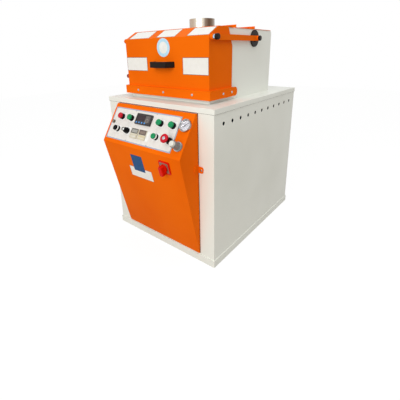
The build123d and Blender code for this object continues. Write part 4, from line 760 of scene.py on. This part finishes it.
# %% Gauge numbers
NUMBER_RADIUS = 12.2
for step in range(6):
    letter = bpy.data.curves.new("gauge_number", "FONT")
    letter.body = str(step * 2)
    letter.size = 4.4
    letter.align_x = letter.align_y = "CENTER"
    written = bpy.data.objects.new("gauge_number", letter)
    bpy.context.scene.collection.objects.link(written)
    number = bpy.data.meshes.new_from_object(written.evaluated_get(bpy.context.evaluated_depsgraph_get()))
    bpy.data.objects.remove(written)
    angle = math.radians(SCALE_START - LONG_STEP * step)
    across, upward = NUMBER_RADIUS * math.cos(angle), NUMBER_RADIUS * math.sin(angle)
    number.transform(Matrix.Translation((GAUGE[0] + across, GAUGE[1] + upward, MARK_TOP)))
    place(f"gauge_number_{step}", number, CONTROL, "door", [dial_print])
print("numbers stand", NUMBER_RADIUS, "mm from the hub")

# %% [markdown]
# The needle's solid ends at its hub, so a tail is added that rides on it. A bright cone stands between the dial and
# the rim, and the lens over them is slightly domed. It lets light through by a low alpha, so that it stays clear
# where a renderer doesn't follow light through glass.

# %% Needle tail, cone and lens
needle_line = CONTROL @ Matrix.Translation((*GAUGE, 0)) @ Matrix.Rotation(math.radians(SCALE_START), 4, "Z")
slabs("needle_tail", [((-12, 0), (13, 1.8), 0.6, 5.55, 6.45, 0, 4)], needle_line, "gauge_needle", [ink])
turned("gauge_cone", [(21.6, 4.2), (25.35, 4.2), (25.35, 8.0), (24.9, 8.0)], GAUGE, CONTROL, "door", [cone_steel],
       smooth=False)
turned("gauge_lens", [(0, 8.1), (25.3, 8.1), (25.3, 9.0), (16, 9.6), (8, 9.85), (0, 9.9)], GAUGE, CONTROL, "door",
       [lens_glass])
print("lens material:", lens_glass.name)

# %% [markdown]
# The pressure regulator is a grey knurled knob with a pale end cap and a bright rim at its base. The knob's
# solid is one piece, so a thin turned skin over its end gives the cap its own colour, and a ring covers the edge
# of the flange.

# %% Regulator cap and rim
REGULATOR = (231.5, -48.0)
KNOB_END, CAP_END = 39.4, 51.4
SKIN_TOP, GROOVE_FLOOR = CAP_END + 0.2, CAP_END + 0.05
turned("regulator_cap_skin",
       [(0, KNOB_END - 0.2), (12.2, KNOB_END - 0.2), (12.2, CAP_END - 2.4), (11.6, CAP_END - 0.7), (9.9, SKIN_TOP),
        (8.0, SKIN_TOP), (7.6, GROOVE_FLOOR), (6.8, GROOVE_FLOOR), (6.4, SKIN_TOP), (0, SKIN_TOP)],
       REGULATOR, CONTROL, "regulator_knob", [pale_grey])
turned("regulator_rim", [(18.6, 8.02), (21.3, 8.02), (21.1, 8.35), (18.8, 8.35)], REGULATOR, CONTROL, "door",
       [zinc])
print("regulator cap ends at", SKIN_TOP, "mm")

# %% [markdown]
# The isolator is a red plate with a duller square field round the boss of its handle. The field is a thin slab
# below the boss, so only its corners show.

# %% Isolator field
ISOLATOR = (164.0, -56.5)
slabs("isolator_field", [(ISOLATOR, (50, 50), 2.0, 6.0, 6.25, 0, 5)], UNDER, "door", [taupe_abs])
print("isolator at", ISOLATOR, "mm on the wedge's under side")

# %% [markdown]
# Printed plates are stuck on the hood and the door. Here they stay bare: each is a thin vinyl slab with a fine
# grey border. The round badge has a pale blue rim and a white middle, and the door carries a bare blue plate
# partly on a bare white one.

# %% Bare plates on the hood
LABEL, BORDER = 0.35, 1.8
slabs("hood_front_plates",
      [((-188.5, 935.5), (153, 65), 2.0, 0, LABEL, BORDER, 4), ((192, 929.5), (144, 73), 2.0, 0, LABEL, BORDER, 4)],
      HOOD_FRONT, "hood", [label_edge, blank_label])
slabs("hood_badge", [((3, 1010), (82, 82), 41, 0, LABEL, 15, 16)], HOOD_FRONT, "hood", [sky_enamel, white_abs])
print("plates are", LABEL, "mm thick")

# %% [markdown]
# Three more plates lie on the sloping facet of the hood. They are plain rectangles in the facet's own plane, and
# only the view makes them look slanted.

# %% Bare plates on the facet
FACET_PLATES = ((-168.5, 145), (13, 118), (202, 118))
facet_rows = [((x, 40), (width, 69), 2.0, 0, LABEL, BORDER, 4) for x, width in FACET_PLATES]
slabs("hood_facet_plates", facet_rows, HOOD_FACET, "hood", [label_edge, blank_label])
print("plates on the facet:", len(FACET_PLATES))

# %% Bare plates on the door
slabs("door_white_plate", [((-22, -141), (158, 58), 2.0, 0, LABEL, 1.0, 4)], UNDER, "door",
      [label_edge, blank_label])
slabs("door_blue_plate", [((-27.5, -85), (79, 90), 2.0, LABEL, 2 * LABEL, 1.0, 4)], UNDER, "door",
      [blue_vinyl, blue_vinyl])
print("the blue plate lies", LABEL, "mm above the sheet")

# %% [markdown]
# Button-head screws have a hexagon socket. From a step away the shade in it is a dark spot, so each recess is a small
# dark plate on the head, painted shade. The front row and both sides have their own faces, and all ride on the hood.

# %% Painted shade in the screw recesses on the skirt
recess_shade = {"Width": 3.0, "Height": 3.0, "Corner Radius": 1.4, "Thickness": 0.06}
screw_height = 807.5
for name, along, where in (("skirt_recess_shade_front", (-180, 0, 180), SKIRT_FRONT),
                           ("skirt_recess_shade_right", (-254, -183), SKIRT_RIGHT),
                           ("skirt_recess_shade_left", (254, 183), SKIRT_LEFT)):
    grow(name, plate_tree, point_mesh([(x, screw_height, 0) for x in along]), recess_shade, ink, where, "hood")
print("screw recesses at height", screw_height, "mm")

# %% [markdown]
# Inside the cabinet the bearing housing and the motor are bolted down with hexagon screws, and three nuts hold the
# pressure plate on its posts. One head is a hexagon on a washer, and the ring tree sets it round each flange. They
# show when the door or the hood is open.

# %% Bolt circles


def screw_mesh(radius, low, size):
    """A hexagon head on its washer, at a radius along X."""
    washer_radius, washer_thick, head_height = size * 1.15, 1.6, size * 0.7
    bm = bmesh.new()
    bmesh.ops.create_cone(bm, cap_ends=True, segments=20, radius1=washer_radius, radius2=washer_radius,
                          depth=washer_thick, matrix=Matrix.Translation((radius, 0, low + washer_thick / 2)))
    bmesh.ops.create_cone(bm, cap_ends=True, segments=6, radius1=size, radius2=size * 0.96, depth=head_height,
                          matrix=Matrix.Translation((radius, 0, low + washer_thick + head_height / 2)))
    mesh = bpy.data.meshes.new("screw")
    bm.to_mesh(mesh)
    bm.free()
    return mesh


LEVEL = face((0, 0, 0), ACROSS, TO_REAR)
SPINDLE_MIDDLE, MOTOR_MIDDLE = (0, -42), (0, 260)
ring_at("bearing_bolts", screw_mesh(79, 504, 7.5), 6, 30, 60, zinc, SPINDLE_MIDDLE, LEVEL, "cabinet")
ring_at("motor_bolts", screw_mesh(90, 502, 6.5), 4, 45, 90, zinc, MOTOR_MIDDLE, LEVEL, "cabinet")
ring_at("post_nuts", screw_mesh(160, 877, 9.0), 3, 90, 120, zinc, SPINDLE_MIDDLE, LEVEL, "rotor")
print("bolts and nuts stand round", SPINDLE_MIDDLE, "and", MOTOR_MIDDLE)

# %% [markdown]
# The left arm ends in a screw whose domed head is painted over with the arm. The right arm has the black knob and
# its bright collar in the same place.

# %% Painted screw on the left arm
ARM_OUTSIDE, ARM_LEVEL = 280, 1046
ARM_LEFT = face((-ARM_OUTSIDE, -326, ARM_LEVEL), TO_FRONT, UPWARD)
turned("left_arm_screw", [(0, -0.2), (9.5, -0.2), (9.5, 5.0), (8.6, 7.4), (6.0, 8.8), (0, 9.4)], (0, 0), ARM_LEFT,
       "hood", [orange_coat])
print("arms at height", ARM_LEVEL, "mm")

# %% [markdown]
# Between the rear end of each arm and its black cap sits a short spacer, painted with the arm.

# %% Painted spacers at the pivots
SPACER_START, SPACER_END = 0.1, 7.9
PIVOT_SPACER = [(11.05, SPACER_START), (12.2, SPACER_START), (12.2, SPACER_END), (11.05, SPACER_END)]
for name, x, across in (("pivot_spacer_right", ARM_OUTSIDE, TO_REAR), ("pivot_spacer_left", -ARM_OUTSIDE, TO_FRONT)):
    turned(name, PIVOT_SPACER, (0, 0), face((x, 48, ARM_LEVEL), across, UPWARD), "hood", [orange_coat])
print("spacer length in mm:", round(SPACER_END - SPACER_START, 1))

# %% [markdown]
# A black strip round the door's opening on the cabinet is painted shade: it makes the dark line of the shadowed gap
# above the door and down its edge. A thinner black bead under the folded edge of the top plate, all round, is painted
# shade for the shadow line under that edge.

# %% Black strips on the cabinet as painted shade
HALF_DEPTH, HALF_WIDTH = 420, 347
BODY_FRONT = face((0, -HALF_DEPTH, 0), ACROSS, UPWARD)
BODY_BACK = face((0, HALF_DEPTH, 0), (-1, 0, 0), UPWARD)
BODY_RIGHT = face((HALF_WIDTH, 0, 0), TO_REAR, UPWARD)
BODY_LEFT = face((-HALF_WIDTH, 0, 0), TO_FRONT, UPWARD)
STRIP_WIDE, STRIP_HIGH, STRIP_THICK = 529, 699, 0.6
# Painted shade: black strips where the gaps round the door and under the lip fall into shadow.
shade_strips = [(centre, size, 0.9, 0, STRIP_THICK, 0, 3)
          for centre, size in (((0, 745.5), (STRIP_WIDE, 2.6)), ((263.3, 394), (2.0, STRIP_HIGH)),
                               ((-263.3, 394), (2.0, STRIP_HIGH)))]
slabs("door_shade_strip", shade_strips, BODY_FRONT, "cabinet", [rubber])
for name, where, length in (("lip_shade_bead_front", BODY_FRONT, 693), ("lip_shade_bead_back", BODY_BACK, 693),
                            ("lip_shade_bead_right", BODY_RIGHT, 839), ("lip_shade_bead_left", BODY_LEFT, 839)):
    slabs(name, [((0, 746.8), (length, 1.2), 0.5, 0, 0.8, 0, 3)], where, "cabinet", [rubber])
print("strip length in mm:", STRIP_WIDE + 2 * STRIP_HIGH)

# %% [markdown]
# The studio is a pale floor, a pale surround and two soft lamps. The surround lights the shaded side. The key lamp
# stands in front, a little right and a little above the control face, and a weaker one hangs over the right side.
# So the hood and the control face are the brightest, and the wedge below the controls falls into shade. The camera
# sees the floor and the surround as white through Light Path, which leaves the light on the machine alone.

# %% Studio
AMBIENT, KEY_WATTS, TOP_WATTS = 0.565, 64, 18
bpy.context.scene.view_settings.view_transform = "Standard"

world = bpy.data.worlds.new("studio_surround")
world.use_nodes = True
bpy.context.scene.world = world
sky = world.node_tree
sky.nodes.clear()


def seen_rays(tree):
    """1 for rays that the camera sends, also through glass and by a mirror, and 0 for the light's own rays."""
    path = add(tree, "ShaderNodeLightPath").outputs
    seen = add(tree, "ShaderNodeMath", {0: path["Is Camera Ray"], 1: path["Is Transmission Ray"]}, operation="MAXIMUM")
    return add(tree, "ShaderNodeMath", {0: seen.outputs[0], 1: path["Is Glossy Ray"]}, operation="MAXIMUM").outputs[0]


ambient = add(sky, "ShaderNodeBackground", {"Color": (0.98, 0.99, 1.0, 1.0), "Strength": AMBIENT})
plain = add(sky, "ShaderNodeBackground", {"Color": (1.0, 1.0, 1.0, 1.0), "Strength": 1.0})
chosen = add(sky, "ShaderNodeMixShader", {0: seen_rays(sky), 1: ambient.outputs[0], 2: plain.outputs[0]})
add(sky, "ShaderNodeOutputWorld", {"Surface": chosen.outputs[0]})


def area_lamp(name, stand, aim, size, watts):
    """A square lamp that stands at one point and looks at another."""
    data = bpy.data.lights.new(name, "AREA")
    data.size = size
    data.energy = watts
    lamp = bpy.data.objects.new(name, data)
    lamp.location = stand
    lamp.rotation_euler = (Vector(aim) - Vector(stand)).to_track_quat("-Z", "Y").to_euler()
    bpy.context.scene.collection.objects.link(lamp)


area_lamp("key_lamp", (0.65, -3.4, 2.0), (0, -0.3, 0.7), 2.4, KEY_WATTS)
area_lamp("top_lamp", (1.3, 0.0, 3.3), (0.2, 0, 0.8), 2.2, TOP_WATTS)

FLOOR_SIZE, PAPER_GLOW, GLOW_SHARE = 14.0, 1.05, 0.88
floor_mesh = bpy.data.meshes.new("studio_floor")
half = FLOOR_SIZE / 2
floor_mesh.from_pydata([(-half, -half, 0), (half, -half, 0), (half, half, 0), (-half, half, 0)], [], [(0, 1, 2, 3)])
floor = bpy.data.objects.new("studio_floor", floor_mesh)
bpy.context.scene.collection.objects.link(floor)
floor_paper, tree, shader = new_material("white_floor_paper", "F4F4F2", 0.9)
glow = add(tree, "ShaderNodeEmission", {"Color": (1.0, 1.0, 1.0, 1.0), "Strength": PAPER_GLOW})
bright = add(tree, "ShaderNodeMixShader", {0: GLOW_SHARE, 1: shader.outputs[0], 2: glow.outputs[0]})
dull = add(tree, "ShaderNodeBsdfDiffuse", {"Color": linear("B7AFA2")})
mixed = add(tree, "ShaderNodeMixShader", {0: seen_rays(tree), 1: dull.outputs[0], 2: bright.outputs[0]})
tree.links.new(mixed.outputs[0], tree.nodes["Material Output"].inputs["Surface"])
floor_mesh.materials.append(floor_paper)
print("floor side in metres:", FLOOR_SIZE)
